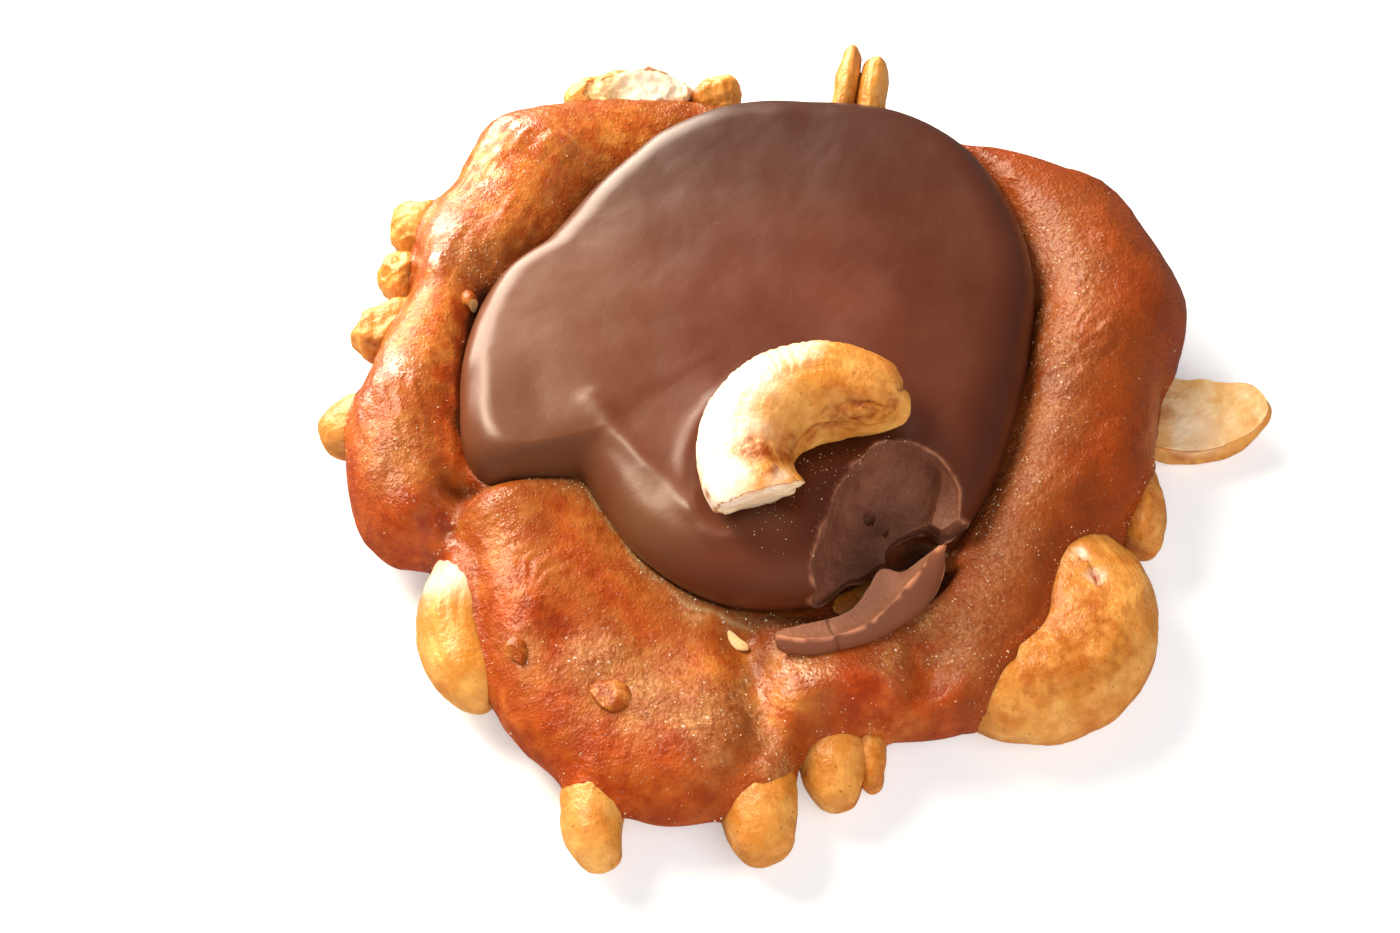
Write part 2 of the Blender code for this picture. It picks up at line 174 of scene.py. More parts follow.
def grit(points: np.ndarray, size: float, octaves: int = 2, shift: float = 0.0) -> np.ndarray:
    """Smooth uneven values between about -1 and 1.

    Args:
        points: Places in millimetres.
        size: Size of the largest lumps in millimetres.
        octaves: How many finer sizes are added.
        shift: Moves the pattern, so that two of them differ.

    Returns:
        One value for each point.
    """
    places = (points / size + shift).tolist()
    return np.array([noise.fractal(place, 0.8, 2.1, octaves) for place in places])


def uneven(points: np.ndarray, *layers: tuple) -> np.ndarray:
    """Adds up grit, each layer given as (height, size, octaves, shift)."""
    return sum(height * grit(points, *pattern) for height, *pattern in layers)


def flakes(points: np.ndarray, size: float) -> np.ndarray:
    """Uneven values that rise to sharp creases between rounded flakes of a size in millimetres."""
    return np.array([noise.voronoi(place)[0][0] for place in (points / size).tolist()]) - 0.5


def spots(points: np.ndarray, table: tuple) -> np.ndarray:
    """How strongly soft round spots cover each point.

    Args:
        points: Places in millimetres.
        table: Spots as (x, y, radius, strength).

    Returns:
        The strongest cover at each point.
    """
    cover = np.zeros(len(points))
    for x, y, radius, strength in table:
        away = np.hypot(points[:, 0] - x, points[:, 1] - y)
        cover = np.maximum(cover, strength * fade(away, radius))
    return cover


def patches(points: np.ndarray, table: tuple) -> np.ndarray:
    """How strongly firm-edged balls cover each point.

    Args:
        points: Places in millimetres.
        table: Balls as (centre, radius, strength).

    Returns:
        The strongest cover at each point.
    """
    cover = np.zeros(len(points))
    for place, radius, strength in table:
        away = np.linalg.norm(points - place, axis=1) / radius
        cover = np.maximum(cover, strength * np.exp(-(away**4)))
    return cover


def distance_to_line(points: np.ndarray, line: tuple) -> np.ndarray:
    """Distance from each point to a line of straight runs.

    Args:
        points: Places in millimetres.
        line: The line's points as (x, y), to measure on the map, or as (x, y, z).

    Returns:
        One distance for each point.
    """
    nearest = np.full(len(points), np.inf)
    for start, end in zip(np.array(line), np.array(line[1:])):
        run = end - start
        offset = points[:, : len(start)] - start
        share = np.clip(offset @ run / (run @ run), 0.0, 1.0)
        away = np.linalg.norm(offset - share[:, None] * run, axis=1)
        nearest = np.minimum(nearest, away)
    return nearest


def line_cover(points: np.ndarray, lines: tuple) -> np.ndarray:
    """How strongly soft lines cover each point.

    Args:
        points: Places in millimetres.
        lines: Lines as (points, width, strength).

    Returns:
        The strongest cover at each point.
    """
    cover = np.zeros(len(points))
    for line, width, strength in lines:
        cover = np.maximum(cover, strength * fade(distance_to_line(points, line), width))
    return cover


def deselect() -> None:
    """Deselects every object, so that an operator acts on new ones alone."""
    bpy.ops.object.select_all(action="DESELECT")


def make_active(piece: Object) -> None:
    """Selects one object and makes it the active one.

    Args:
        piece: The object.
    """
    deselect()
    piece.select_set(True)
    bpy.context.view_layer.objects.active = piece


class Clay:
    """A mesh piece while its points are moved, in millimetres.

    Operators may number the points anew in each run, so order lists them in a sequence that stays.
    """

    def __init__(self, piece: Object) -> None:
        """Reads the points of a piece.

        Args:
            piece: A mesh object at the origin.
        """
        self.piece = piece
        flat = np.empty(len(piece.data.vertices) * 3)
        piece.data.vertices.foreach_get("co", flat)
        self.points = flat.reshape(-1, 3) / MM
        self.order = np.lexsort(np.round(self.points, 2).T)

    def press(self) -> None:
        """Writes the points to the mesh."""
        self.piece.data.vertices.foreach_set("co", (self.points * MM).ravel())
        self.piece.data.update()

    def normals(self) -> np.ndarray:
        """Writes the points and reads the direction out of the surface.

        Returns:
            One direction for each point.
        """
        self.press()
        flat = np.empty(len(self.points) * 3)
        self.piece.data.vertex_normals.foreach_get("vector", flat)
        return flat.reshape(-1, 3)

    def push(self, heights: np.ndarray) -> None:
        """Moves each point out by its height."""
        self.points += self.normals() * heights[:, None]

    def paint(self, name: str, values: np.ndarray) -> None:
        """Keeps one value a point under a name, between 0 and 1, for the material to read."""
        layer = self.piece.data.attributes.new(name, "FLOAT", "POINT")
        layer.data.foreach_set("value", np.clip(values, 0.0, 1.0).astype(np.float32))

    def comb(self, places: np.ndarray) -> None:
        """Keeps a place a point, in millimetres, which the pattern of fibres is read at."""
        layer = self.piece.data.attributes.new("grain", "FLOAT_VECTOR", "POINT")
        layer.data.foreach_set("vector", (places * MM).astype(np.float32).ravel())

    def dress(self, surface: Material, degrees: float, slot: Slot, *nodes: str) -> None:
        """Finishes the piece.

        Args:
            surface: Its material.
            degrees: The sharpest edge that is shaded smooth.
            slot: A slot of the record, handed on to settle.
            nodes: The CAD nodes that it stands for.
        """
        self.piece.data.materials.append(surface)
        smooth(self.piece, degrees)
        settle(self.piece, slot, *nodes)

    def tree(self) -> BVHTree:
        """A search tree of the surface, in millimetres."""
        faces = [tuple(face.vertices) for face in self.piece.data.polygons]
        return BVHTree.FromPolygons(self.points.tolist(), faces)


def add_ball(name: str, segments: int, rings: int) -> tuple[Clay, np.ndarray, np.ndarray]:
    """Adds a UV sphere of radius 1 mm, as a coarse one with each edge cut in four.

    Args:
        name: The object's name.
        segments: How many segments it has, a multiple of four.
        rings: How many rings of faces it has, a multiple of four.

    Returns:
        The clay, and the ring and the segment that each point belongs to.
    """
    deselect()
    bpy.ops.mesh.primitive_uv_sphere_add(
        segments=segments // PARTS, ring_count=rings // PARTS, radius=MM, calc_uvs=False
    )
    piece = bpy.context.object
    piece.name = name
    bpy.ops.object.mode_set(mode="EDIT")
    bpy.ops.mesh.select_all(action="SELECT")
    bpy.ops.mesh.subdivide(number_cuts=PARTS - 1)
    bpy.ops.object.mode_set(mode="OBJECT")
    clay = Clay(piece)
    clay.points /= np.linalg.norm(clay.points, axis=1)[:, None]
    height = np.clip(clay.points[:, 2], -1.0, 1.0)
    ring = np.rint(np.arccos(height) / math.pi * rings).astype(int)
    turn = np.arctan2(clay.points[:, 1], clay.points[:, 0]) / (2 * math.pi) * segments
    segment = np.mod(np.rint(turn).astype(int), segments)
    clay.order = np.lexsort((segment, ring))
    return clay, ring, segment


def softened(values: np.ndarray, ring: np.ndarray, segment: np.ndarray, times: int) -> np.ndarray:
    """Evens out values over neighbouring points of a ball.

    Args:
        values: One value for each point.
        ring: Each point's ring.
        segment: Each point's segment.
        times: How often to average.

    Returns:
        The new values.
    """
    grid = np.zeros((ring.max() + 1, segment.max() + 1))
    grid[ring, segment] = values
    for _ in range(times):
        grid = (np.roll(grid, 1, 1) + 2 * grid + np.roll(grid, -1, 1)) / 4
        grid[1:-1] = (grid[:-2] + 2 * grid[1:-1] + grid[2:]) / 4
    return grid[ring, segment]


def distances(points: np.ndarray, tree: BVHTree, reach: float) -> np.ndarray:
    """Distance from points to a surface, less than 0 inside it.

    Args:
        points: Places in millimetres.
        tree: The surface.
        reach: Distance past which nothing is looked for.

    Returns:
        One distance for each point, or reach where the surface is farther.
    """
    found = np.full(len(points), reach)
    for index, point in enumerate(points.tolist()):
        place, normal, _, away = tree.find_nearest(point, reach)
        if place is not None:
            outside = (Vector(point) - place).dot(normal) > 0
            found[index] = away if outside else -away
    return found


def apply_modifier(piece: Object, kind: str, **settings: object) -> None:
    """Adds a modifier to a piece and applies it.

    Args:
        piece: The object.
        kind: The modifier's type.
        settings: Its settings.
    """
    modifier = piece.modifiers.new(kind.lower(), kind)
    for name, value in settings.items():
        setattr(modifier, name, value)
    make_active(piece)
    bpy.ops.object.modifier_apply(modifier=modifier.name)


def carve(target: Object, cutter: Object) -> None:
    """Cuts one object out of another, which takes the cutter's material there, and removes it."""
    apply_modifier(
        target, "BOOLEAN", operation="DIFFERENCE", solver="EXACT", object=cutter, material_mode="TRANSFER"
    )
    bpy.data.objects.remove(cutter)


def smooth(piece: Object, degrees: float) -> None:
    """Shades a piece smooth, apart from edges sharper than an angle."""
    make_active(piece)
    bpy.ops.object.shade_smooth_by_angle(angle=math.radians(degrees))


def settle(piece: Object, slot: Slot, *nodes: str) -> None:
    """Hands a finished piece to the frame.

    Args:
        piece: The object.
        slot: Not used.
        nodes: The CAD nodes that it stands for.
    """
    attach(piece, BODY)
    if nodes:
        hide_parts(*nodes)
    LOG.info("%s: %d faces", piece.name, len(piece.data.polygons))


class Kind(Enum):
    """Shader nodes by their job: type, own settings, inputs in order and the output that is taken."""

    PLACE = "TexCoord", {}, (), "Object"
    PAINTED = "Attribute", {}, (), "Fac"
    ALONG = "Attribute", {"attribute_name": "grain"}, (), "Vector"
    NOISE = "TexNoise", {}, ("Vector", "Scale", "Detail", "Roughness"), "Fac"
    CELLS = "TexVoronoi", {"feature": "F1"}, ("Vector", "Scale", "Randomness"), "Distance"
    STRETCH = "MapRange", {}, ("Value", "From Min", "From Max", "To Min", "To Max"), "Result"
    MIX = "Mix", {"data_type": "RGBA"}, (0, 6, 7), 2
    PLUS = "Math", {"operation": "ADD"}, (0, 1), 0
    TIMES = "Math", {"operation": "MULTIPLY"}, (0, 1), 0
    TIMES_PLUS = "Math", {"operation": "MULTIPLY_ADD"}, (0, 1, 2), 0
    BUMP = "Bump", {}, ("Height", "Distance", "Strength"), "Normal"
    SURFACE = "BsdfPrincipled", {}, (), "BSDF"
    RESULT = "OutputMaterial", {}, ("Surface",), None


class Finish:
    """What all surfaces share: a material whose Principled shader each kind of finish fills in."""

    def __init__(self, name: str) -> None:
        """Makes the material.

        Args:
            name: Its name.
        """
        self.material = bpy.data.materials.new(name)
        self.material.use_nodes = True
        self.tree = self.material.node_tree
        self.tree.nodes.clear()
        self.place = self.add(Kind.PLACE)
        self.add(Kind.RESULT, self.add(Kind.SURFACE, self.surface()))

    def surface(self) -> dict[str, object]:
        """The shader's inputs."""
        return {}

    def add(self, kind: Kind, *inputs: object, **settings: object) -> NodeSocket | None:
        """Adds a shader node.

        Args:
            kind: Its job.
            inputs: Its inputs in order, or one dict of them by name: a socket, a value or a hex colour.
            settings: More of its own settings.

        Returns:
            The output that is taken from it.
        """
        type_name, own, names, output = kind.value
        node = self.tree.nodes.new("ShaderNode" + type_name)
        for name, value in (own | settings).items():
            setattr(node, name, value)
        named = inputs[0] if kind is Kind.SURFACE else dict(zip(names, inputs))
        for name, value in named.items():
            if isinstance(value, NodeSocket):
                self.tree.links.new(value, node.inputs[name])
            else:
                node.inputs[name].default_value = srgb(value) if isinstance(value, str) else value
        return None if output is None else node.outputs[output]

    def pattern(
        self, size: float, low: float, high: float, detail: float = 3, place: NodeSocket | None = None
    ) -> NodeSocket:
        """Noise with features of a size in millimetres, stretched so that low to high fills 0 to 1.

        Args:
            size: The size of its features.
            low: The noise that becomes 0.
            high: The noise that becomes 1.
            detail: How many finer sizes are added.
            place: Its coordinates, if they aren't the object's.

        Returns:
            Values from 0 to 1.
        """
        made = self.add(Kind.NOISE, place or self.place, per_mm(size), detail, 0.6)
        return self.add(Kind.STRETCH, made, low, high)


class CookedCaramel(Finish):
    """Soft caramel, cooked and poured warm.

    Light goes a little way in, so thin rims glow orange, and where sugar has begun to crystallise
    it turns dull, beige and grainy. Its sugar crystals are drawn 0.4 mm wide, coarser than the real
    ones, so that they show, and the pale specks on their tips are painted glints. Painted shade darkens
    its creases, hollow and crevices; its rims are painted a deeper orange as a painted glow, and its
    left side lighter as painted light.
    """

    def surface(self) -> dict[str, object]:
        """The shader's inputs.

        Returns:
            Values and sockets by the inputs' names.
        """
        zones = ("sugar", "deep", "amber_and_lit", "wet", "glaze", "painted_shade")
        sugar, deep, amber_and_lit, wet, glaze, painted_shade = (
            self.add(Kind.PAINTED, attribute_name=name) for name in zones
        )
        streaks = self.pattern(1.8, 0.4, 0.64, 5)
        colour = self.add(Kind.MIX, self.pattern(5.0, 0.3, 0.7, 3), "763311", "8E4217")
        # lighter orange caramel, partly painted light, lightest on the lit left side
        colour = self.add(Kind.MIX, amber_and_lit, colour, self.add(Kind.MIX, streaks, "B4561A", "D48C40"))
        # darker red-brown caramel, partly painted shade in creases, dips and on sides turned from the
        # light; it also carries the painted rim glow
        colour = self.add(Kind.MIX, deep, colour, self.add(Kind.MIX, streaks, "902E08", "B2450F"))
        pale = self.add(Kind.MIX, self.pattern(0.5, 0.36, 0.66, 4), "90582F", "C4905A")
        shown = self.add(Kind.TIMES, sugar, self.add(Kind.TIMES_PLUS, streaks, 0.5, 0.4))
        colour = self.add(Kind.MIX, shown, colour, pale)
        colour = self.add(Kind.MIX, glaze, colour, "A8865A")
        # near-black painted shade in the hollow under the break and in the crevices by the chocolate
        colour = self.add(Kind.MIX, painted_shade, colour, "1C0F05")
        # near-white specks on the tips of small cells, painted glints, strongest on sugar and wet patches
        crystals = self.add(Kind.CELLS, self.place, per_mm(0.4), 1.0)
        tip = self.add(Kind.STRETCH, crystals, 0.2, 0.36, 1.0, 0.0)
        bright = self.add(Kind.TIMES_PLUS, sugar, 1.3, self.add(Kind.TIMES_PLUS, wet, 0.5, 0.05))
        picked = self.add(Kind.TIMES_PLUS, crystals.node.outputs["Color"], 5.0, -3.8)
        glint = self.add(Kind.TIMES, self.add(Kind.TIMES, tip, bright), picked)
        colour = self.add(Kind.MIX, glint, colour, "FFF6E6")
        grainy = self.add(Kind.TIMES_PLUS, sugar, 0.9, 0.55)
        coarse = self.add(Kind.TIMES, self.pattern(0.65, 0.3, 0.7, 4), grainy)
        coarse = self.add(Kind.TIMES_PLUS, tip, 0.25, coarse)
        relief = self.add(Kind.TIMES, coarse, self.add(Kind.TIMES_PLUS, wet, -0.4, 1.0))
        dull = self.add(Kind.TIMES_PLUS, sugar, 0.14, 0.3)
        return {
            "Base Color": colour, "Roughness": self.add(Kind.TIMES_PLUS, wet, -0.13, dull),
            "Normal": self.add(Kind.BUMP, relief, 0.17 * MM, 0.9), "IOR": 1.49, "Specular IOR Level": 0.14,
            "Coat Weight": self.add(Kind.TIMES_PLUS, wet, 0.8, self.add(Kind.TIMES_PLUS, glint, 0.6, 0.1)),
            "Coat Roughness": 0.16, "Coat IOR": 2.0,
            "Coat Normal": self.add(Kind.BUMP, relief, 0.09 * MM, 0.9), "Subsurface Weight": 0.2,
            "Subsurface Radius": (1.0, 0.42, 0.16), "Subsurface Scale": 1.4 * MM
        }


class PouredChocolate(Finish):
    """Milk chocolate, poured and set in the open: a smooth satin skin with soft cloudy dulling."""

    def surface(self) -> dict[str, object]:
        """The shader's inputs.

        Returns:
            Values and sockets by the inputs' names.
        """
        painted_sheen, shade, painted_shadow, scuff_and_highlight = (
            self.add(Kind.PAINTED, attribute_name=name) for name in ("painted_sheen", "shade", "painted_shadow", "scuff_and_highlight")
        )
        clouds = self.pattern(9.0, 0.3, 0.7, 2)
        colour = self.add(Kind.MIX, clouds, "542514", "602E1B")
        # painted sheen: lighter tan on the left third and the front left, where the light falls
        colour = self.add(Kind.MIX, painted_sheen, colour, "6A4229")
        colour = self.add(Kind.MIX, shade, colour, "38190D")
        # painted shadow: near-black round the cashew on the disc and on the disc's low right side
        colour = self.add(Kind.MIX, painted_shadow, colour, "2A1008")
        # pale along the broken edges, partly scuffing and partly a painted highlight
        return {
            "Base Color": self.add(Kind.MIX, scuff_and_highlight, colour, "D8906C"),
            "Roughness": self.add(Kind.TIMES_PLUS, clouds, 0.06, 0.37),
            "Normal": self.add(Kind.BUMP, self.pattern(1.2, 0.3, 0.7, 4), 0.03 * MM, 0.45), "IOR": 1.48,
            "Specular IOR Level": 0.38, "Coat Weight": 0.24, "Coat Roughness": 0.24,
            "Subsurface Weight": 0.05, "Subsurface Radius": (1.0, 0.4, 0.2), "Subsurface Scale": 1.0 * MM
        }


class BrokenChocolate(Finish):
    """The same chocolate where it snapped: dull, grainy and a little uneven in tone."""

    def surface(self) -> dict[str, object]:
        """The shader's inputs.

        Returns:
            Values and sockets by the inputs' names.
        """
        scuff_and_highlight, painted_shadow = (self.add(Kind.PAINTED, attribute_name=name) for name in ("scuff_and_highlight", "painted_shadow"))
        grains = self.pattern(0.35, 0.3, 0.7, 4)
        colour = self.add(Kind.MIX, self.pattern(2.6, 0.35, 0.65, 4), "66382A", "7C4C38")
        colour = self.add(Kind.MIX, self.add(Kind.TIMES, grains, 0.3), colour, "94664E")
        # painted shadow: near-black in the shard's crack
        colour = self.add(Kind.MIX, painted_shadow, colour, "20100A")
        # pale along the broken edges, partly scuffing and partly a painted highlight
        return {
            "Base Color": self.add(Kind.MIX, scuff_and_highlight, colour, "E0A080"), "Roughness": 0.5,
            "Normal": self.add(Kind.BUMP, grains, 0.08 * MM, 0.6), "IOR": 1.46
        }


class RoastedCashew(Finish):
    """Cashew kernel, oil roasted: golden skin with brown freckles, pale flesh where it broke, and painted
    highlights.
    """

    def surface(self) -> dict[str, object]:
        """The shader's inputs.

        Returns:
            Values and sockets by the inputs' names.
        """
        roast, flesh, stain, cream_and_highlight = (
            self.add(Kind.PAINTED, attribute_name=name) for name in ("roast", "flesh", "stain", "cream_and_highlight")
        )
        clouds = self.pattern(3.0, 0.36, 0.64, 4)
        fibres = self.pattern(0.9, 0.38, 0.62, 4, self.add(Kind.ALONG))
        freckles = self.pattern(0.42, 0.68, 0.74, 1)
        blotches = self.pattern(1.3, 0.42, 0.6, 5)
        colour = self.add(Kind.MIX, clouds, "C88430", "E6B060")
        browned = self.add(Kind.TIMES, roast, self.add(Kind.TIMES_PLUS, blotches, 0.5, 0.4))
        colour = self.add(Kind.MIX, browned, colour, "B05C12")
        colour = self.add(Kind.MIX, self.add(Kind.TIMES, fibres, 0.25), colour, "BC7224")
        colour = self.add(Kind.MIX, self.add(Kind.TIMES, freckles, 0.5), colour, "7C3E12")
        pale = self.add(Kind.MIX, fibres, "E6C28C", "F2DCB2")
        colour = self.add(Kind.MIX, flesh, colour, self.add(Kind.MIX, clouds, pale, "D8A664"))
        # near-white on broken faces, and painted highlights where the light falls
        colour = self.add(Kind.MIX, cream_and_highlight, colour, "FAEEDF")
        brim = self.add(Kind.TIMES, self.add(Kind.TIMES_PLUS, flesh, -3.2, 3.2), flesh)
        colour = self.add(Kind.MIX, brim, colour, "A85A1C")
        dark = self.add(Kind.TIMES, stain, self.add(Kind.TIMES_PLUS, blotches, 0.7, 0.5))
        strand = self.add(Kind.TIMES, fibres, self.add(Kind.TIMES_PLUS, flesh, -0.4, 0.6))
        relief = self.add(Kind.PLUS, strand, self.pattern(0.5, 0.3, 0.7, 3))
        return {
            "Base Color": self.add(Kind.MIX, dark, colour, "92420A"),
            "Roughness": self.add(Kind.TIMES_PLUS, flesh, 0.14, 0.34),
            "Normal": self.add(Kind.BUMP, relief, 0.1 * MM, 0.6), "IOR": 1.47, "Subsurface Weight": 0.22,
            "Subsurface Radius": (1.0, 0.6, 0.25), "Subsurface Scale": 1.4 * MM
        }


class LooseSugar(Finish):
    """Sugar crystals and nut dust: pale, half clear grains."""

    def surface(self) -> dict[str, object]:
        """The shader's inputs."""
        return {
            "Base Color": self.add(Kind.MIX, self.pattern(2.0, 0.35, 0.65, 2), "DCA870", "FFEACC"),
            "Roughness": 0.22, "IOR": 1.54, "Subsurface Weight": 0.4, "Subsurface Radius": (1.0, 0.8, 0.6),
            "Subsurface Scale": 0.3 * MM
        }


class PaperFloor(Finish):
    """White paper sweep, lit brightly from all round."""

    def surface(self) -> dict[str, object]:
        """The shader's inputs."""
        return {
            "Base Color": self.add(Kind.MIX, self.pattern(40.0, 0.3, 0.7, 1), "E6ECF4", "EAF0F8"),
            "Roughness": 0.9, "Specular IOR Level": 0.0, "Emission Color": (1.0, 1.0, 1.0, 1.0),
            "Emission Strength": 0.3
        }


def on_pour(turn: np.ndarray, radius: np.ndarray) -> np.ndarray:
    """Points on the map at angles in degrees and distances from POUR."""
    angle = np.radians(turn)
    return POUR + np.stack((radius * np.cos(angle), radius * np.sin(angle)), axis=-1)


def straight(start: tuple, end: tuple, shares: np.ndarray) -> list[tuple]:
    """Rings on a straight line between two rings, each as (radius, height), at shares of the way."""
    return [tuple(first + (last - first) * share for first, last in zip(start, end)) for share in shares]


def rounded(start: tuple, end: tuple, rings: int, power: float, steep: bool = False) -> list[tuple]:
    """Rings on a rounded quarter between two rings.

    Args:
        start: The ring it leaves, as (radius, height).
        end: The ring it reaches.
        rings: How many rings it has.
        power: How boxy it is, from 2 for an ellipse.
        steep: Whether it leaves straight down and not straight out.

    Returns:
        Its rings after the first one.
    """
    rows = []
    for share in np.linspace(0, 1, rings + 1)[1:]:
        angle = math.pi / 2 * share
        along, down = math.sin(angle) ** (2 / power), 1 - max(0.0, math.cos(angle)) ** (2 / power)
        if steep:
            along, down = down, along
        rows.append((start[0] + (end[0] - start[0]) * along, start[1] + (end[1] - start[1]) * down))
    return rows


def along_across(points: np.ndarray, degrees: float) -> tuple[np.ndarray, np.ndarray]:
    """How far points lie along and across a direction on the map."""
    cosine, sine = math.cos(math.radians(degrees)), math.sin(math.radians(degrees))
    return points[:, 0] * cosine + points[:, 1] * sine, points[:, 1] * cosine - points[:, 0] * sine


@dataclass(frozen=True)
class Scoop:
    """An egg-shaped bite out of a piece, with a rough wall.

    blunt is how boxy it is, from 2 for an egg. coarse and fine are the heights of its wall's lumps and
    grit. pits are small round hollows in its wall, as (x, y, z, radius).
    """

    centre: Place
    half_sizes: Place
    turn: float
    blunt: float = 2.0
    coarse: float = 0.4
    fine: float = 0.09
    pits: tuple = ()

    def cutter(self, surface: Material) -> Object:
        """Makes the cutter.

        Args:
            surface: The material that the cut leaves.

        Returns:
            A closed mesh object.
        """
        clay, _, _ = add_ball("scoop", 160, 96)
        clay.points /= (np.abs(clay.points) ** self.blunt).sum(axis=1)[:, None] ** (1 / self.blunt)
        turn = np.array(Matrix.Rotation(math.radians(self.turn), 3, "Z"))
        clay.points = clay.points * self.half_sizes @ turn.T + self.centre
        relief = uneven(clay.points, (self.coarse, 2.4), (self.fine, 0.6, 3, 7.0))
        for x, y, z, radius in self.pits:
            away = np.linalg.norm(clay.points - (x, y, z), axis=1)
            relief += 1.5 * np.sqrt(np.maximum(radius**2 - away**2, 0.0))
        clay.push(relief)
        clay.press()
        clay.piece.data.materials.append(surface)
        return clay.piece


@dataclass(frozen=True)
class Cashew:
    """A cashew, or a piece of one, as a rounded bar bent to an arch.

    centre is the centre of the bend, and turn is in degrees about X, Y and Z, with Z first. Unturned,
    the arch stands in the XY plane and bulges to +Y. width and depth are half sizes, across the bar in
    the plane of the arch and at right angles to it. taper makes the +X end thicker, and groove is the
    depth of the hollow on the inner side as a share of the width. breaks are planes that a piece is
    broken off at, as (point, direction that is lost, roughness, how fast the rest shrinks to a cap or 0),
    in the unturned arch, and pale_end is how white their faces are. pulls move the finished form near a
    point, as (point, radius, move). stains are browned places and creams pale places, partly pale flesh
    and partly painted highlights where the light falls, as (point, radius, strength). cuts are narrow
    grooves, each as a line of points. roast is how brown it is, crag how ragged, seam how deep the line
    between its halves is, ribs how strong the ridges along it are, as a share of its width, and wrinkles
    how deep the small folds across its back are. The hollow and the cleft in it are as wide as angles
    round the bar, and lumps is the unevenness of every kernel.
    """

    node: str
    centre: Place
    turn: Place
    bend: float
    sweep: float
    width: float
    depth: float
    taper: float = 0.12
    groove: float = 0.22
    bluntness: float = 0.55
    breaks: tuple = ()
    pulls: tuple = ()
    stains: tuple = ()
    creams_and_highlights: tuple = ()
    pale_end: float = 0.0
    ribs: float = 0.05
    cuts: tuple = ()
    roast: float = 0.35
    crag: float = 0.0
    seam: float = 0.0
    wrinkles: float = 0.0
    segments: int = 72
    rings: int = 72
    hollow_width: float = 0.4
    cleft_width: float = 0.1
    cut_width: float = 0.35
    cut_depth: float = 0.3
    lumps: tuple = ((0.22, 3.4), (0.05, 1.2))

    def build(self, surface: Material) -> Clay:
        """Makes the kernel.

        Args:
            surface: Its material.

        Returns:
            The finished clay.
        """
        clay, _, _ = add_ball("roasted_" + self.node, self.segments, self.rings)
        along = np.clip(clay.points[:, 2], -1.0, 1.0)
        side = np.arctan2(clay.points[:, 1], clay.points[:, 0])
        inward = math.pi - np.abs(side)
        hollow = fade(inward, self.hollow_width)
        cleft = fade(inward, self.cleft_width)
        seed = sum(self.centre)
        girth = np.maximum(0.0, 1 - along**2) ** (self.bluntness / 2) * (1 + self.taper * along)
        girth *= 1 - self.groove * hollow - self.seam * cleft
        strand = np.stack((along * 1.2, np.cos(side) * 2.4, np.sin(side) * 2.4), axis=1)
        girth *= 1 + self.ribs * grit(strand, 1.0, 2, seed) * (1 - along**8)
        angle = math.radians(self.sweep) / 2 * along
        radius = self.bend + self.width * girth * np.cos(side)
        clay.points = np.stack(
            (radius * np.sin(angle), radius * np.cos(angle), self.depth * girth * np.sin(side)), axis=1
        )
        span = self.bend * math.radians(self.sweep) / 2
        grain = np.stack(
            (along * span * 0.12, np.cos(side) * self.width, np.sin(side) * self.depth), axis=1
        )
        flesh = self.break_off(clay, seed)
        clay.push(self.relief(clay, along, side, seed) * (1 - 0.7 * flesh))
        turn = Matrix.Identity(3)
        for axis, degrees in zip("XYZ", self.turn):
            turn = turn @ Matrix.Rotation(math.radians(degrees), 3, axis)
        clay.points = clay.points @ np.array(turn).T + self.centre
        for place, reach, move in self.pulls:
            away = np.linalg.norm(clay.points - place, axis=1)
            clay.points += fade(away, reach)[:, None] * move
        brown = 0.8 * hollow * (1 - along**4) * (self.seam > 0)
        rough_places = clay.points + 0.5 * grit(clay.points, 1.5, 2, seed)[:, None]
        brown = np.maximum(brown, patches(rough_places, self.stains))
        for cut in self.cuts:
            away = distance_to_line(rough_places, cut)
            brown = np.maximum(brown, 0.9 * fade(away, 0.3))
            clay.push(-self.cut_depth * fade(away, self.cut_width))
        clay.points[:, 2] = np.maximum(clay.points[:, 2], 0.0)
        clay.press()
        inner_side = 0.35 * fade(inward, 1.3)
        clay.paint("flesh", flesh)
        clay.paint("roast", self.roast + inner_side + 0.4 * grit(clay.points, 4.0, 2, seed))
        clay.paint("stain", brown)
        # pale broken faces, and pale spots that are partly painted highlights
        clay.paint("cream_and_highlight", np.maximum(patches(rough_places, self.creams_and_highlights), self.pale_end * flesh))
        clay.comb(grain + seed)
        clay.dress(surface, 50, Slot.CASHEW, self.node)
        return clay

    def relief(self, clay: Clay, along: np.ndarray, side: np.ndarray, seed: float) -> np.ndarray:
        """Heights of the kernel's lumps, its flakes and the folds across its back.

        Args:
            clay: The kernel, unturned.
            along: Where each point is along the arch, from -1 to 1.
            side: Where each point is round the bar, as an angle from the outer side.
            seed: Moves the patterns.

        Returns:
            One height for each point.
        """
        heights = uneven(clay.points, *((*lump, 2, seed) for lump in self.lumps))
        if self.crag:
            heights += self.crag * (flakes(clay.points + seed, 2.2) + 0.4 * flakes(clay.points + seed, 0.9))
        if self.wrinkles:
            back = fade(side - 0.9, 0.9) * fade(along - 0.1, 0.5)
            sway = 2.2 * grit(clay.points, 3.0, 3, seed + 5)
            heights += self.wrinkles * back * np.sin(along * 150 + sway * 4)
        return heights

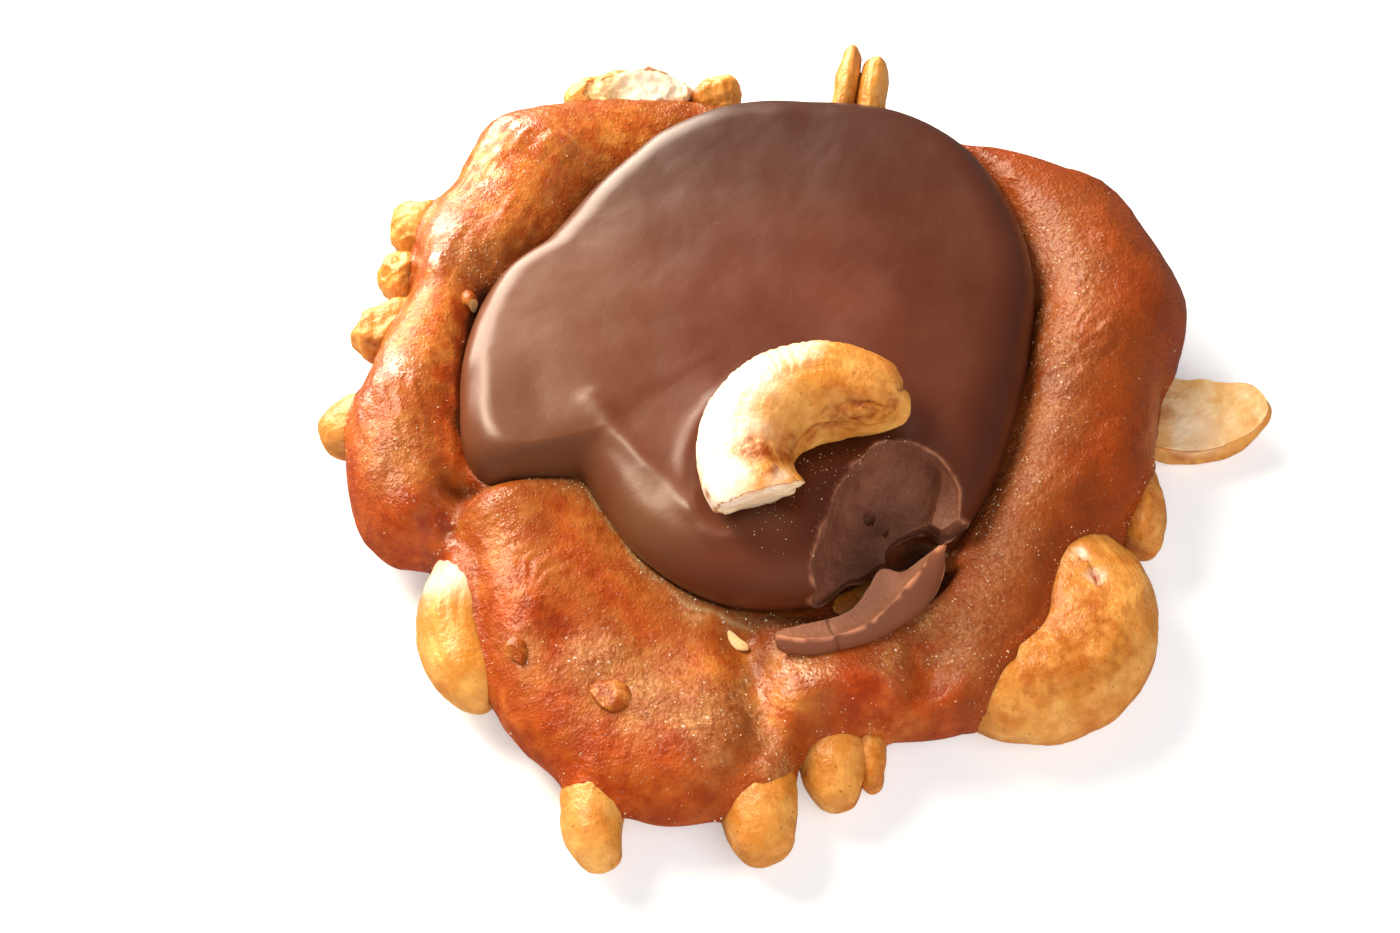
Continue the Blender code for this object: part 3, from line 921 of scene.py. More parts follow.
    def break_off(self, clay: Clay, seed: float) -> np.ndarray:
        """Flattens the clay to the planes it is broken off at.

        Args:
            clay: The kernel, unturned.
            seed: Moves the pattern of the broken face.

        Returns:
            1 for each point on a broken face, 0 for the others.
        """
        flesh = np.zeros(len(clay.points))
        for place, lost, roughness, shrink in self.breaks:
            lost = np.array(lost) / np.linalg.norm(lost)
            ragged = roughness * grit(clay.points, 1.6, 3, seed)
            beyond = np.maximum((clay.points - place) @ lost - ragged, 0.0)
            clay.points -= beyond[:, None] * lost
            middle = clay.points[(beyond > 0) & (beyond < 1)].mean(axis=0)
            clay.points = middle + (clay.points - middle) * np.exp(-beyond * shrink)[:, None]
            flesh = np.maximum(flesh, (beyond > 0).astype(float))
        return flesh


CASHEWS = (
    Cashew(
        "cashew_top", centre=(5.8, -7.6, 17.9), turn=(0, 0, 62), bend=7.0, sweep=228, width=4.6, depth=4.1,
        taper=0.1, breaks=(((-7.4, 2.9, 2.9), (-0.623, -0.639, -0.38), 0.25, 0.4),), pale_end=0.3,
        pulls=(
            ((12.6, 0.2, 18.4), 1.1, (-0.9, -0.5, -0.3)), ((12.0, -2.3, 16.0), 1.3, (0.5, -0.3, 0.0)),
            ((12.4, 1.6, 18.6), 1.2, (0.3, 0.2, 0.2))
        ),
        stains=(
            ((-1.0, -9.2, 21.7), 1.3, 0.8), ((0.4, -9.2, 21.6), 1.4, 0.9), ((1.9, -8.8, 20.4), 1.4, 1.0),
            ((2.2, -7.0, 18.5), 2.0, 0.9), ((0.7, -11.4, 21.4), 0.7, 0.8), ((7.9, -3.8, 19.9), 0.9, 0.7),
            ((11.0, -2.9, 19.4), 0.9, 0.8), ((12.2, -0.6, 18.6), 0.8, 0.9), ((-4.4, -11.4, 18.5), 0.7, 0.8),
            ((10.4, -0.8, 20.2), 2.6, 0.5), ((7.6, -2.4, 20.6), 2.0, 0.35), ((-2.2, -10.6, 16.2), 0.5, 0.6),
            ((0.3, -9.9, 16.4), 0.4, 0.6), ((6.3, -4.1, 19.3), 1.2, 0.7), ((8.6, -3.9, 19.5), 1.1, 0.65),
            ((10.4, -3.4, 19.2), 1.0, 0.7), ((4.6, -4.9, 17.6), 1.1, 0.7)
        ),
        # pale spots on its left and outer side are painted highlights where the light falls
        creams_and_highlights=(
            ((-4.4, -6.0, 19.5), 4.6, 0.95), ((-1.6, -1.2, 20.6), 3.6, 0.8),
            ((-3.4, -11.0, 19.5), 3.2, 0.95), ((2.6, 1.6, 20.4), 2.8, 0.5), ((1.0, -12.0, 20.0), 1.4, 0.7)
        ),
        cuts=(
            (
                (5.0, -4.3, 19.6), (6.4, -3.9, 20.3), (8.0, -3.6, 20.4), (9.9, -3.6, 20.0),
                (11.4, -3.1, 19.1)
            ),
            ((4.4, -4.6, 17.6), (5.6, -4.3, 18.3), (7.0, -4.2, 18.9), (9.2, -4.2, 19.2)),
            ((11.8, -1.7, 20.0), (12.4, -0.8, 18.8), (12.6, 0.0, 17.4))
        ),
        roast=0.15, seam=0.14, wrinkles=0.1, segments=112, rings=224
    ),
    Cashew(
        "cashew_front_right", centre=(22.3, -14.7, 5.1), turn=(6, 0, -128), bend=6.5, sweep=218, width=5.6,
        depth=4.4, pulls=(((24.2, -14.0, 8.5), 3.0, (-0.9, 0.0, 0.3)),),
        stains=(
            ((29.7, -20.5, 8.6), 2.4, 0.35), ((26.5, -22.2, 8.8), 2.2, 0.4),
            ((23.2, -23.4, 8.4), 2.0, 0.35), ((24.8, -16.2, 8.6), 1.5, 0.3), ((27.0, -18.5, 8.9), 3.0, 0.3)
        ),
        # pale spots along the split are painted highlights
        creams_and_highlights=(((27.4, -11.0, 8.8), 0.8, 0.7), ((28.4, -13.4, 9.0), 0.8, 0.5)),
        cuts=(((26.6, -9.8, 8.0), (27.6, -11.6, 8.9), (28.4, -13.4, 9.1), (28.9, -15.6, 9.1)),), roast=0.65,
        wrinkles=0.05, segments=120, rings=160
    ),
    Cashew(
        "cashew_right", centre=(38.8, 15.9, 4.9), turn=(14, 0, 169), bend=9.0, sweep=108, width=3.9,
        depth=3.9, breaks=(((0, 0, 1.5), (0, 0, 1), 0.08, 0.0),),
        pulls=(
            ((39.6, 9.6, 6.2), 1.2, (-0.1, 1.4, 0.7)), ((46.0, 6.8, 5.6), 0.9, (1.0, 0.2, 0.0)),
            ((45.0, 3.6, 5.6), 1.2, (-0.5, 0.5, 0.0))
        ),
        stains=(((35.0, 8.2, 6.0), 3.2, 0.6), ((39.8, 11.0, 6.6), 1.1, 1.0), ((45.6, 7.0, 5.6), 0.9, 0.6)),
        creams_and_highlights=(((38.8, 4.9, 6.4), 3.4, 0.5),), roast=0.6, segments=96, rings=96
    ),
    Cashew("cashew_right_low", (19.2, -4.6, 3.9), (0, 0, -77), 14.0, 49, 2.3, 3.6, roast=0.9),
    Cashew(
        "cashew_front_left", centre=(-6.4, -34.1, 3.7), turn=(0, 0, 72), bend=7.6, sweep=105, width=3.1,
        depth=3.3, roast=0.3, ribs=0.02, segments=96, rings=96
    ),
    Cashew(
        "cashew_front_middle", centre=(19.8, -31.6, 3.8), turn=(0, 0, 93), bend=20.0, sweep=30, width=3.6,
        depth=3.5, roast=0.5, ribs=0.02, segments=96, rings=96
    ),
    Cashew("cashew_front_centre", (36.0, -26.5, 3.4), (0, 0, 91), 30.0, 22, 3.2, 3.1, roast=0.4, ribs=0.01),
    Cashew(
        "cashew_front_centre_half", (38.9, -25.6, 3.2), (0, 0, 91), 30.0, 18, 1.7, 2.8, roast=0.9, ribs=0.01
    ),
    # the pale spot at its top left is a painted highlight
    Cashew(
        "cashew_left_front", centre=(-17.3, -16.0, 4.4), turn=(0, 0, 82), bend=8.7, sweep=120, width=3.6,
        depth=4.0, creams_and_highlights=(((-26.4, -12.2, 6.4), 3.0, 0.8),), roast=0.2, segments=96, rings=96
    ),
    Cashew("cashew_left", (-31.0, -12.9, 5.2), (0, 0, 0), 18.0, 50, 3.7, 3.6, roast=0.2),
    Cashew(
        "cashew_left_back_low", centre=(-28.8, -1.2, 6.2), turn=(0, 0, 8), bend=16.0, sweep=38, width=3.0,
        depth=3.0, crag=0.9, stains=(((-34.5, 12.0, 8.0), 0.8, 0.9),), roast=0.25
    ),
    Cashew(
        "cashew_left_back_middle", (-22.6, 20.2, 6.4), (0, 0, 90), 9.5, 24, 1.9, 2.6, crag=0.8, roast=0.25
    ),
    Cashew(
        "cashew_left_back_high", (-18.0, 25.3, 7.0), (0, 0, 90), 12.5, 24, 2.7, 2.6, crag=0.8, roast=0.25
    ),
    Cashew(
        "cashew_back_left", centre=(-11.8, 26.3, 8.2), turn=(0, 0, 0), bend=14.0, sweep=46, width=2.4,
        depth=2.7, crag=0.8, breaks=(((1.5, 13.0, 1.4), (0.1, -0.35, 0.93), 0.5, 0.0),),
        creams_and_highlights=(((-9.8, 40.3, 9.0), 3.0, 0.9), ((-7.6, 41.3, 9.0), 2.2, 0.9)), roast=0.2, segments=96,
        rings=96
    ),
    Cashew(
        "cashew_back_left_end", (-3.6, 29.9, 8.2), (0, 0, 0), 10.0, 25, 2.2, 2.4,
        stains=(((-6.0, 40.0, 9.0), 1.3, 0.9),), crag=0.6, roast=0.4
    ),
    Cashew(
        "cashew_back_blade", centre=(8.2, 45.0, -2.0), turn=(115, 79, 0), bend=12.0, sweep=48, width=2.3,
        depth=1.1, bluntness=0.8, crag=0.2,
        stains=(((9.7, 42.2, 9.6), 0.9, 0.9), ((9.9, 41.4, 8.0), 0.9, 0.9)), roast=0.5
    ),
    Cashew(
        "cashew_back_half", centre=(10.6, 44.4, -2.4), turn=(115, 82, 0), bend=12.0, sweep=38, width=2.6,
        depth=1.4, bluntness=0.3, crag=0.2, stains=(((9.9, 42.2, 9.6), 0.7, 0.9),),
        creams_and_highlights=(((11.4, 41.6, 8.6), 1.4, 0.7),), roast=0.15
    ),
    Cashew("cashew_under_break", (-1.0, 2.5, 4.8), (0, 0, 208), 20.0, 42, 2.8, 3.0, roast=1.0)
)


@dataclass
class ChocolateDisc:
    """The disc of chocolate, with its broken front right.

    It sinks towards the cashew on it by dent, as (depth, width), inside a low ring, as (height,
    distance, width). lumps are its unevenness.
    """

    bottom: float = 8.3
    widest: float = 10.0
    top: float = 14.0
    dome: float = 1.1
    rounding: tuple = ((0, 5.0), (80, 4.0), (130, 3.5), (200, 3.3), (225, 4.8), (270, 5.5))
    squareness: float = 2.3
    tuck: float = 1.2
    segments: int = 400
    flat_rings: int = 56
    side_rings: int = 34
    foot_rings: int = 8
    base_rings: int = 7
    fold: tuple = (((-16.0, -4.5), (-19.0, 0.5)), 2.4, 0.15)
    # lighter tan painted sheen on the front left, as (x, y, radius, strength)
    painted_sheen_spots: tuple = ((-11.0, -10.5, 5.0, 0.9), (-18.5, -3.6, 4.0, 0.7))
    lumps: tuple = ((0.2, 9.0), (0.03, 2.6, 2, 5.0))
    dent: tuple[float, float] = (0.25, 0.9)
    ring: tuple[float, float, float] = (0.18, 1.9, 0.7)
    ridge_height: float = 0.25
    near_nut: float = 4.0
    ridge: tuple = (((-14.6, 1.1), (-10.3, -5.0), (-6.0, -10.2)), 1.0, 1.0)
    scoops: tuple[Scoop, ...] = (
        Scoop(
            (9.9, -12.3, 15.6), (4.7, 9.3, 6.6), -21, blunt=2.7, coarse=0.3, fine=0.04,
            pits=((9.26, -7.84, 9.4, 0.55), (10.6, -9.14, 9.2, 0.3))
        ),
        Scoop(
            (14.8, -10.6, 15.0), (3.4, 7.2, 4.3), 20, coarse=0.2, fine=0.04,
            pits=((17.5, -8.95, 10.85, 0.75),)
        ),
        Scoop((13.4, -11.9, 9.0), (2.6, 2.7, 8.0), 25, blunt=3.0, coarse=0.3, fine=0.05),
        Scoop((14.0, -16.9, 10.0), (15.0, 5.9, 8.0), 29, coarse=0.5, fine=0.08)
    )

    def section(self) -> np.ndarray:
        """The disc's sections.

        Returns:
            An array of (ring, segment, radius and height), from the top's middle to the base's.
        """
        turn = np.arange(self.segments) * 360 / self.segments
        edge = around(CHOCOLATE_EDGE, turn)
        level = np.ones(self.segments)
        middle, crown = (0 * edge, self.top * level), (edge - around(self.rounding, turn), self.top * level)
        side, foot = (edge, self.widest * level), (edge - self.tuck, self.bottom * level)
        rows = straight(middle, crown, np.linspace(0, 1, self.flat_rings))
        rows += rounded(crown, side, self.side_rings, self.squareness)
        rows += rounded(side, foot, self.foot_rings, 2.0, steep=True)
        rows += straight(foot, (0 * edge, self.bottom * level), np.linspace(0, 1, self.base_rings + 1)[1:])
        return np.array(rows).transpose(0, 2, 1)

    def build(self, top_nut: Clay, skin: Material, broken: Material) -> Clay:
        """Makes the disc.

        Args:
            top_nut: The cashew that lies on it.
            skin: The material of its poured surface.
            broken: The material of its broken surface.

        Returns:
            The finished clay.
        """
        rows = self.section()
        clay, ring, segment = add_ball("poured_chocolate", self.segments, len(rows) - 1)
        radius, height = rows[ring, segment].T
        turn = segment * 360 / self.segments
        edge = around(CHOCOLATE_EDGE, turn)
        clay.points[:, :2] = on_pour(turn, radius)
        upper = ease((height - self.widest) / (self.top - self.widest))
        fold = line_cover(clay.points, (self.fold,))
        clay.points[:, 2] = height + upper * (self.dome * (1 - (radius / edge) ** 2) - fold)
        near = distances(clay.points, top_nut.tree(), self.near_nut)
        ridge = line_cover(clay.points + 0.6 * grit(clay.points, 4.0, 1)[:, None], (self.ridge,))
        height, gap, width = self.ring
        relief = uneven(clay.points, *self.lumps) + self.ridge_height * ridge
        relief += height * fade(near - gap, width) - self.dent[0] * fade(near, self.dent[1])
        clay.push(upper * relief)
        clay.press()
        clay.piece.data.materials.append(skin)
        for scoop in self.scoops:
            carve(clay.piece, scoop.cutter(broken))
        finished = Clay(clay.piece)
        near = distances(finished.points, top_nut.tree(), self.near_nut)
        # painted shadow round the cashew and on the low right side by the break
        low = ease((10.6 - finished.points[:, 2]) / 2.0) * (finished.points[:, 0] > 3)
        finished.paint("painted_shadow", np.maximum(0.6 * fade(near, 1.0), 0.5 * low))
        # pale broken edges of the disc, partly a painted highlight
        paint_scuffs_and_highlights(finished, 0.16, most=0.5)
        right = ease((finished.points[:, 0] - 4) / 24)
        back = ease((finished.points[:, 1] - 12) / 20)
        finished.paint("shade", 0.55 * right + 0.8 * back * (1 - right))
        # painted sheen: lighter tan on the left third and the front left
        left = ease((-2 - finished.points[:, 0]) / 16)
        finished.paint("painted_sheen", np.maximum(0.55 * left, spots(finished.points, self.painted_sheen_spots)))
        smooth(clay.piece, 38)
        settle(clay.piece, Slot.CHOCOLATE, "chocolate")
        return finished


def paint_scuffs_and_highlights(clay: Clay, width: float, least: float = 0.0, most: float = 1.0) -> None:
    """Paints how near each point is to an edge between poured and broken surface.

    The material turns it pale, partly as scuffing and partly as a painted highlight.

    Args:
        clay: A piece with two materials.
        width: How wide the pale line is.
        least: How pale the rest of the piece is.
        most: How pale the edge is.
    """
    sides: dict[int, set[int]] = {}
    for face in clay.piece.data.polygons:
        for corner in face.vertices:
            sides.setdefault(corner, set()).add(face.material_index)
    rim = [corner for corner, kinds in sides.items() if len(kinds) > 1]
    tree = kdtree.KDTree(max(1, len(rim)))
    for corner in rim:
        tree.insert(clay.points[corner].tolist(), corner)
    tree.balance()
    away = np.array([tree.find(point)[2] if rim else 9.0 for point in clay.points.tolist()], float)
    patchy = ease(0.55 + 0.9 * grit(clay.points, 1.5, 2, 3.0))
    clay.paint("scuff_and_highlight", np.maximum(most * patchy * fade(away, width), least))


@dataclass
class ChocolateShard:
    """The sliver that came off the disc, as a wedge drawn along its length.

    foot is the outer skin's lower edge, crest its upper edge and back the upper edge of the broken
    face behind it, each as (x, y, z) from the blunt left end to the sharp right tip.
    """

    foot: tuple = (
        (2.2, -21.3, 8.9), (4.6, -21.4, 8.7), (7.0, -20.9, 8.6), (9.4, -20.1, 8.5), (11.8, -18.5, 8.6),
        (14.1, -16.4, 8.8), (15.3, -14.0, 9.2), (15.6, -12.5, 9.9), (15.4, -11.8, 10.6)
    )
    crest: tuple = (
        (1.1, -20.6, 11.0), (3.3, -21.1, 11.1), (5.8, -20.9, 11.2), (7.7, -20.3, 11.3), (9.2, -19.5, 11.4),
        (10.8, -18.0, 11.5), (12.4, -15.8, 11.5), (14.0, -13.3, 11.3), (15.2, -11.7, 11.0)
    )
    back: tuple = (
        (1.1, -20.2, 10.8), (3.0, -19.5, 10.7), (5.4, -18.9, 10.7), (7.6, -17.9, 10.8), (9.0, -15.9, 11.2),
        (10.1, -14.4, 11.6), (11.8, -14.4, 11.1), (13.6, -12.9, 10.9), (15.1, -11.6, 10.9)
    )
    floor: float = 8.3
    bulge: float = 0.45
    sag: float = 0.75
    side_parts: tuple[int, int, int, int] = (36, 36, 16, 20)
    rings: int = 180
    cap_rings: int = 10
    crack: tuple[float, float] = (5.9, -20.2)
    crack_slant: float = 0.35
    crack_width: float = 0.13
    crack_depth: float = 0.16

    def sections(self) -> np.ndarray:
        """The wedge's sections.

        Returns:
            An array of (ring, segment, x, y and z), closed to a point at both ends.
        """
        stations = np.linspace(0, 1, len(self.foot))
        shares = np.linspace(0, 1, self.rings + 1 - 2 * self.cap_rings)
        foot, crest, back = (
            np.stack(
                [through(stations, np.array(edge)[:, axis], shares) for axis in range(3)], axis=1
            ) for edge in (self.foot, self.crest, self.back)
        )
        under = back * (1, 1, 0) + (0, 0, self.floor)
        under[:, :2] += 0.25 * (foot - back)[:, :2]
        under[:, 2] = np.minimum(under[:, 2], foot[:, 2])
        corners = (foot, crest, back, under, foot)
        columns = []
        for start, end, parts in zip(corners, corners[1:], self.side_parts):
            for part in range(parts):
                columns.append(start + (end - start) * part / parts)
        return np.stack(columns, axis=1)

    def build(self, skin: Material, broken: Material) -> Object:
        """Makes the shard.

        Args:
            skin: The material of its poured surface.
            broken: The material of its broken surface.

        Returns:
            The finished object.
        """
        rows = self.sections()
        middle = rows.mean(axis=1, keepdims=True)
        shrink = np.sqrt(np.linspace(0, 1, self.cap_rings, endpoint=False))[:, None, None]
        first = middle[0] + (rows[0] - middle[0]) * np.sqrt(shrink)
        last = middle[-1] + (rows[-1] - middle[-1]) * shrink[::-1]
        rows = np.concatenate((first, rows, last))
        clay, ring, segment = add_ball("broken_shard", sum(self.side_parts), len(rows) - 1)
        clay.points = rows[ring, segment]
        parts = np.cumsum((0,) + self.side_parts)
        on_skin = segment <= parts[1]
        on_face = (segment > parts[1]) & (segment <= parts[2])
        along_skin = np.clip(segment / self.side_parts[0], 0, 1)
        along_face = np.clip((segment - parts[1]) / self.side_parts[1], 0, 1)
        width = np.linalg.norm(rows[ring, parts[2] % rows.shape[1]] - rows[ring, parts[1]], axis=1)
        out = self.bulge * np.sin(math.pi * along_skin) * on_skin
        clay.push(out - self.sag * np.sin(math.pi * along_face) * on_face * np.minimum(width / 4, 1.0))
        edge = np.minimum(np.abs(segment - parts[1]), np.abs(segment - parts[2])) < 1
        relief = 0.08 * grit(clay.points, 2.2, 3, 2.0) * ~on_skin
        relief += 0.05 * grit(clay.points, 0.9, 2, 8.0) * edge
        from_crack = clay.points[:, :2] - self.crack
        split = fade(from_crack @ (1, self.crack_slant), self.crack_width)
        relief -= self.crack_depth * split * (segment < parts[2])
        clay.push(relief)
        clay.press()
        mesh = clay.piece.data
        mesh.materials.append(skin)
        mesh.materials.append(broken)
        for face in mesh.polygons:
            corners = segment[list(face.vertices)]
            face.material_index = int(not (corners.max() <= parts[1] and corners.min() < parts[1]))
        # painted shadow in the crack
        clay.paint("painted_shadow", 0.5 * split)
        # pale broken edges, partly a painted highlight, and the whole shard a little paler
        paint_scuffs_and_highlights(clay, 0.34, least=0.2)
        make_active(clay.piece)
        bpy.ops.object.mode_set(mode="EDIT")
        bpy.ops.mesh.select_all(action="SELECT")
        bpy.ops.mesh.normals_make_consistent(inside=False)
        bpy.ops.object.mode_set(mode="OBJECT")
        smooth(clay.piece, 34)
        settle(clay.piece, Slot.CHOCOLATE, "chocolate_shard")
        return clay.piece


@dataclass
class Caramel:
    """The poured lump of caramel."""

    seat: float = 7.97
    overlap: float = 0.3
    flatness: float = 2.5
    steepness: float = 0.65
    middle_shares: tuple = (0, 0.25, 0.5)
    tuck: float = 3.0
    undercut: float = 4.5
    segments: int = 600
    seat_rings: int = 22
    inner_rings: int = 36
    outer_rings: int = 60
    under_rings: int = 16
    foot_rings: int = 8
    bumps: tuple = (
        (-20.7, 32.5, 6.0, 1.0), (-29.8, 18.6, 4.0, 0.8), (-20.6, -5.8, 4.0, 0.9), (-20.0, -17.0, 6.0, 0.6),
        (-9.4, -21.0, 6.0, -1.0), (-16.6, -19.6, 2.2, -0.8), (-5.2, -28.3, 5.0, 0.5),
        (6.4, -25.4, 4.5, 1.2), (34.0, 12.0, 7.0, 0.8), (30.0, -2.5, 5.0, -0.5)
    )
    creases: tuple = (
        (((-25.4, -4.6), (-28.6, -12.3)), 1.8, 2.4), (((-1.4, -19.2), (0.6, -32.8)), 1.9, 1.5),
        (((14.5, -20.9), (12.5, -29.1)), 2.2, 1.8)
    )
    hollow: Scoop = Scoop((11.0, -13.6, 10.3), (6.6, 4.0, 4.4), 29)
    coated: tuple = ("cashew_front_left", "cashew_front_middle", "cashew_front_centre", "cashew_left_front")
    coat: float = 0.4
    thickest_coat: float = 3.4
    near_nut: float = 4.5
    rim_width: float = 2.2
    # height below which the near-black painted shade spots darken the caramel
    painted_shade_top: float = 8.8
    sugar_spots: tuple = (
        (-14.0, -21.6, 2.8, 0.9), (-9.4, -24.7, 3.2, 0.9), (-5.2, -27.9, 3.2, 0.9), (-1.9, -25.2, 1.8, 0.7),
        (-19.4, -20.3, 1.8, 0.5), (3.5, -22.2, 1.8, 0.8), (10.6, -22.0, 2.0, 0.7), (13.5, -18.0, 2.4, 0.7),
        (16.5, -21.0, 3.0, 0.6), (-25.0, 18.0, 3.0, 0.4), (-32.0, -1.5, 3.0, 0.5)
    )
    sugar_lines: tuple = (
        (
            (
                (27.0, 23.0), (27.3, 15.4), (27.0, 9.9), (25.4, 2.8), (22.4, -3.4), (20.6, -12.0),
                (17.4, -19.0)
            ),
            2.8, 0.42
        ),
        (((-1.5, -21.9), (-0.6, -26.0), (0.3, -30.7)), 0.9, 0.8),
        (
            (
                (-26.0, -5.0), (-20.0, -4.2), (-15.5, -4.0), (-13.0, -7.6), (-9.0, -13.0), (-4.0, -16.6),
                (3.0, -18.4)
            ),
            0.9, 0.6
        )
    )
    # near-black painted shade in the hollow under the break, as (x, y, radius, strength), and along the
    # crevices by the chocolate, as (points, width, strength)
    painted_shade_spots: tuple = ((12.0, -13.6, 3.2, 1.0), (8.0, -14.8, 2.4, 1.0), (14.0, -10.8, 3.2, 1.0))
    painted_shade_lines: tuple = (
        (((-24.4, 15.8), (-25.4, 11.8), (-26.0, 6.4), (-26.0, 1.2), (-24.8, -2.2)), 0.55, 0.85),
        (
            (
                (-27.0, -4.6), (-20.0, -3.8), (-15.2, -3.6), (-14.0, -5.6), (-11.2, -9.9), (-8.3, -13.2),
                (-5.5, -15.4), (-1.9, -16.9), (0.6, -17.5), (5.0, -18.0)
            ),
            0.65, 0.5
        )
    )
    # darker red-brown caramel, partly painted shade in creases, dips and on sides turned from the light, as
    # (x, y, radius, strength) and (points, width, strength)
    deep_and_shaded_spots: tuple = (
        (34.5, 13.7, 5.0, 0.2), (33.0, 1.0, 4.0, 0.2), (30.9, -4.1, 3.5, 0.3), (-20.0, -17.5, 2.8, 0.9),
        (-17.0, -19.6, 3.2, 1.0), (-18.4, -26.7, 3.2, 0.8), (-13.5, -30.0, 3.6, 0.8),
        (-7.5, -30.8, 3.4, 0.9), (-30.5, -9.0, 3.0, 0.8), (-26.5, -1.5, 2.0, 0.8), (8.2, -25.0, 3.6, 1.0),
        (14.8, -25.2, 2.4, 0.6), (21.0, -25.0, 2.5, 0.6)
    )
    deep_and_shaded_lines: tuple = (
        (((-25.0, 15.8), (-26.0, 11.8), (-26.7, 6.4), (-26.7, 1.2), (-25.7, -2.2)), 1.1, 0.8),
        (((14.1, -20.3), (13.6, -23.4), (12.2, -25.8)), 1.1, 0.7),
        (((-17.6, -7.0), (-15.6, -12.0), (-12.0, -16.4), (-9.0, -19.0)), 1.5, 0.45),
        (((-25.5, -4.1), (-27.5, -7.5), (-28.8, -9.9)), 1.0, 0.8)
    )
    # lighter orange caramel, partly painted light on the lit left lobes, as (x, y, radius, strength)
    amber_and_lit_spots: tuple = (
        (-24.0, 28.0, 8.0, 1.0), (-13.0, 32.0, 7.0, 0.9), (-29.0, 12.0, 6.0, 0.9), (3.0, -22.4, 2.2, 1.0),
        (-31.0, 0.0, 6.0, 0.5), (-22.0, -13.3, 5.0, 0.6), (-21.0, -25.0, 4.0, 0.8),
        (-11.0, -27.5, 3.0, 0.5), (-4.0, -22.5, 3.0, 0.7), (1.5, -25.5, 3.0, 0.8), (-16.0, -9.0, 3.0, 0.6),
        (10.0, -27.0, 3.0, 0.7)
    )
    wet_spots: tuple = (
        (-27.5, -8.2, 2.4, 1.0), (-21.8, -7.9, 2.4, 0.5), (-18.0, 33.0, 3.6, 1.0), (-22.6, 31.0, 3.4, 1.0),
        (-20.6, 26.8, 2.6, 1.0), (-24.0, 26.0, 2.4, 0.9), (-29.8, 19.5, 3.6, 1.0), (-30.6, 7.4, 1.8, 1.0),
        (-35.8, 4.2, 2.6, 1.0), (-29.2, -4.9, 2.0, 0.8), (3.6, -22.4, 1.8, 1.0), (6.5, -24.0, 3.0, 0.6),
        (10.0, -24.4, 1.6, 0.8), (1.5, -25.1, 2.0, 0.3)
    )
    wrinkle_spots: tuple = (
        ((-20.5, -14.5, 4.5, 1.0), -63), ((-15.0, -16.5, 3.6, 0.8), -63), ((27.5, 9.0, 3.6, 0.5), 118),
        ((25.0, 0.0, 3.5, 0.6), 122)
    )
    wrinkle_gap: float = 1.15
    wrinkle_height: float = 0.14
    fold_spots: tuple = (
        ((30.0, 6.0, 14.0, 1.0), 55, 0.35), ((-31.0, 4.0, 12.0, 1.0), 100, 0.5),
        ((-22.0, 28.0, 9.0, 1.0), 60, 0.55), ((-19.0, -10.0, 7.0, 1.0), -30, 0.3)
    )
    glaze_lines: tuple = (
        (
            (
                (-16.2, -3.5), (-15.5, -4.2), (-14.7, -5.6), (-13.2, -8.1), (-11.9, -10.1), (-10.1, -12.1),
                (-9.0, -13.5), (-7.6, -14.9), (-6.0, -16.0), (-4.5, -16.8), (-2.3, -17.6), (-0.2, -18.1)
            ),
            0.16, 0.9
        ),
    )

    def section(self) -> np.ndarray:
        """The lump's sections.

        Returns:
            An array of (ring, segment, radius and height), from the seat's middle to the base's.
        """
        turn = np.arange(self.segments) * 360 / self.segments
        crest, place, lip, widest, under = (around(CARAMEL_SHAPE, turn, column) for column in range(1, 6))
        seat = np.linspace(0.56, 1, self.seat_rings)
        well = around(CHOCOLATE_EDGE, turn) - self.overlap
        reach = around(CARAMEL_REACH, turn)
        summit = well + (reach - well) * place
        rows = [(well * share, 0 * well + self.seat) for share in (*self.middle_shares, *seat)]
        for share in np.linspace(0.02, 1, self.inner_rings):
            climbed = ease(np.array(share**self.steepness))
            rows.append((well + (summit - well) * share, lip + (crest - lip) * climbed))
        tucked, foot = reach - self.tuck, reach - self.tuck - self.undercut
        rows += rounded((summit, crest), (reach, widest), self.outer_rings, self.flatness)
        rows += rounded((reach, widest), (tucked, under), self.under_rings, 2.0, steep=True)
        rows += straight((tucked, under), (foot, 0 * foot), np.linspace(0, 1, self.foot_rings + 1)[1:])
        rows += [(foot * share, 0 * foot) for share in (0.8, 0.5, 0.25, 0)]
        return np.array(rows).transpose(0, 2, 1)

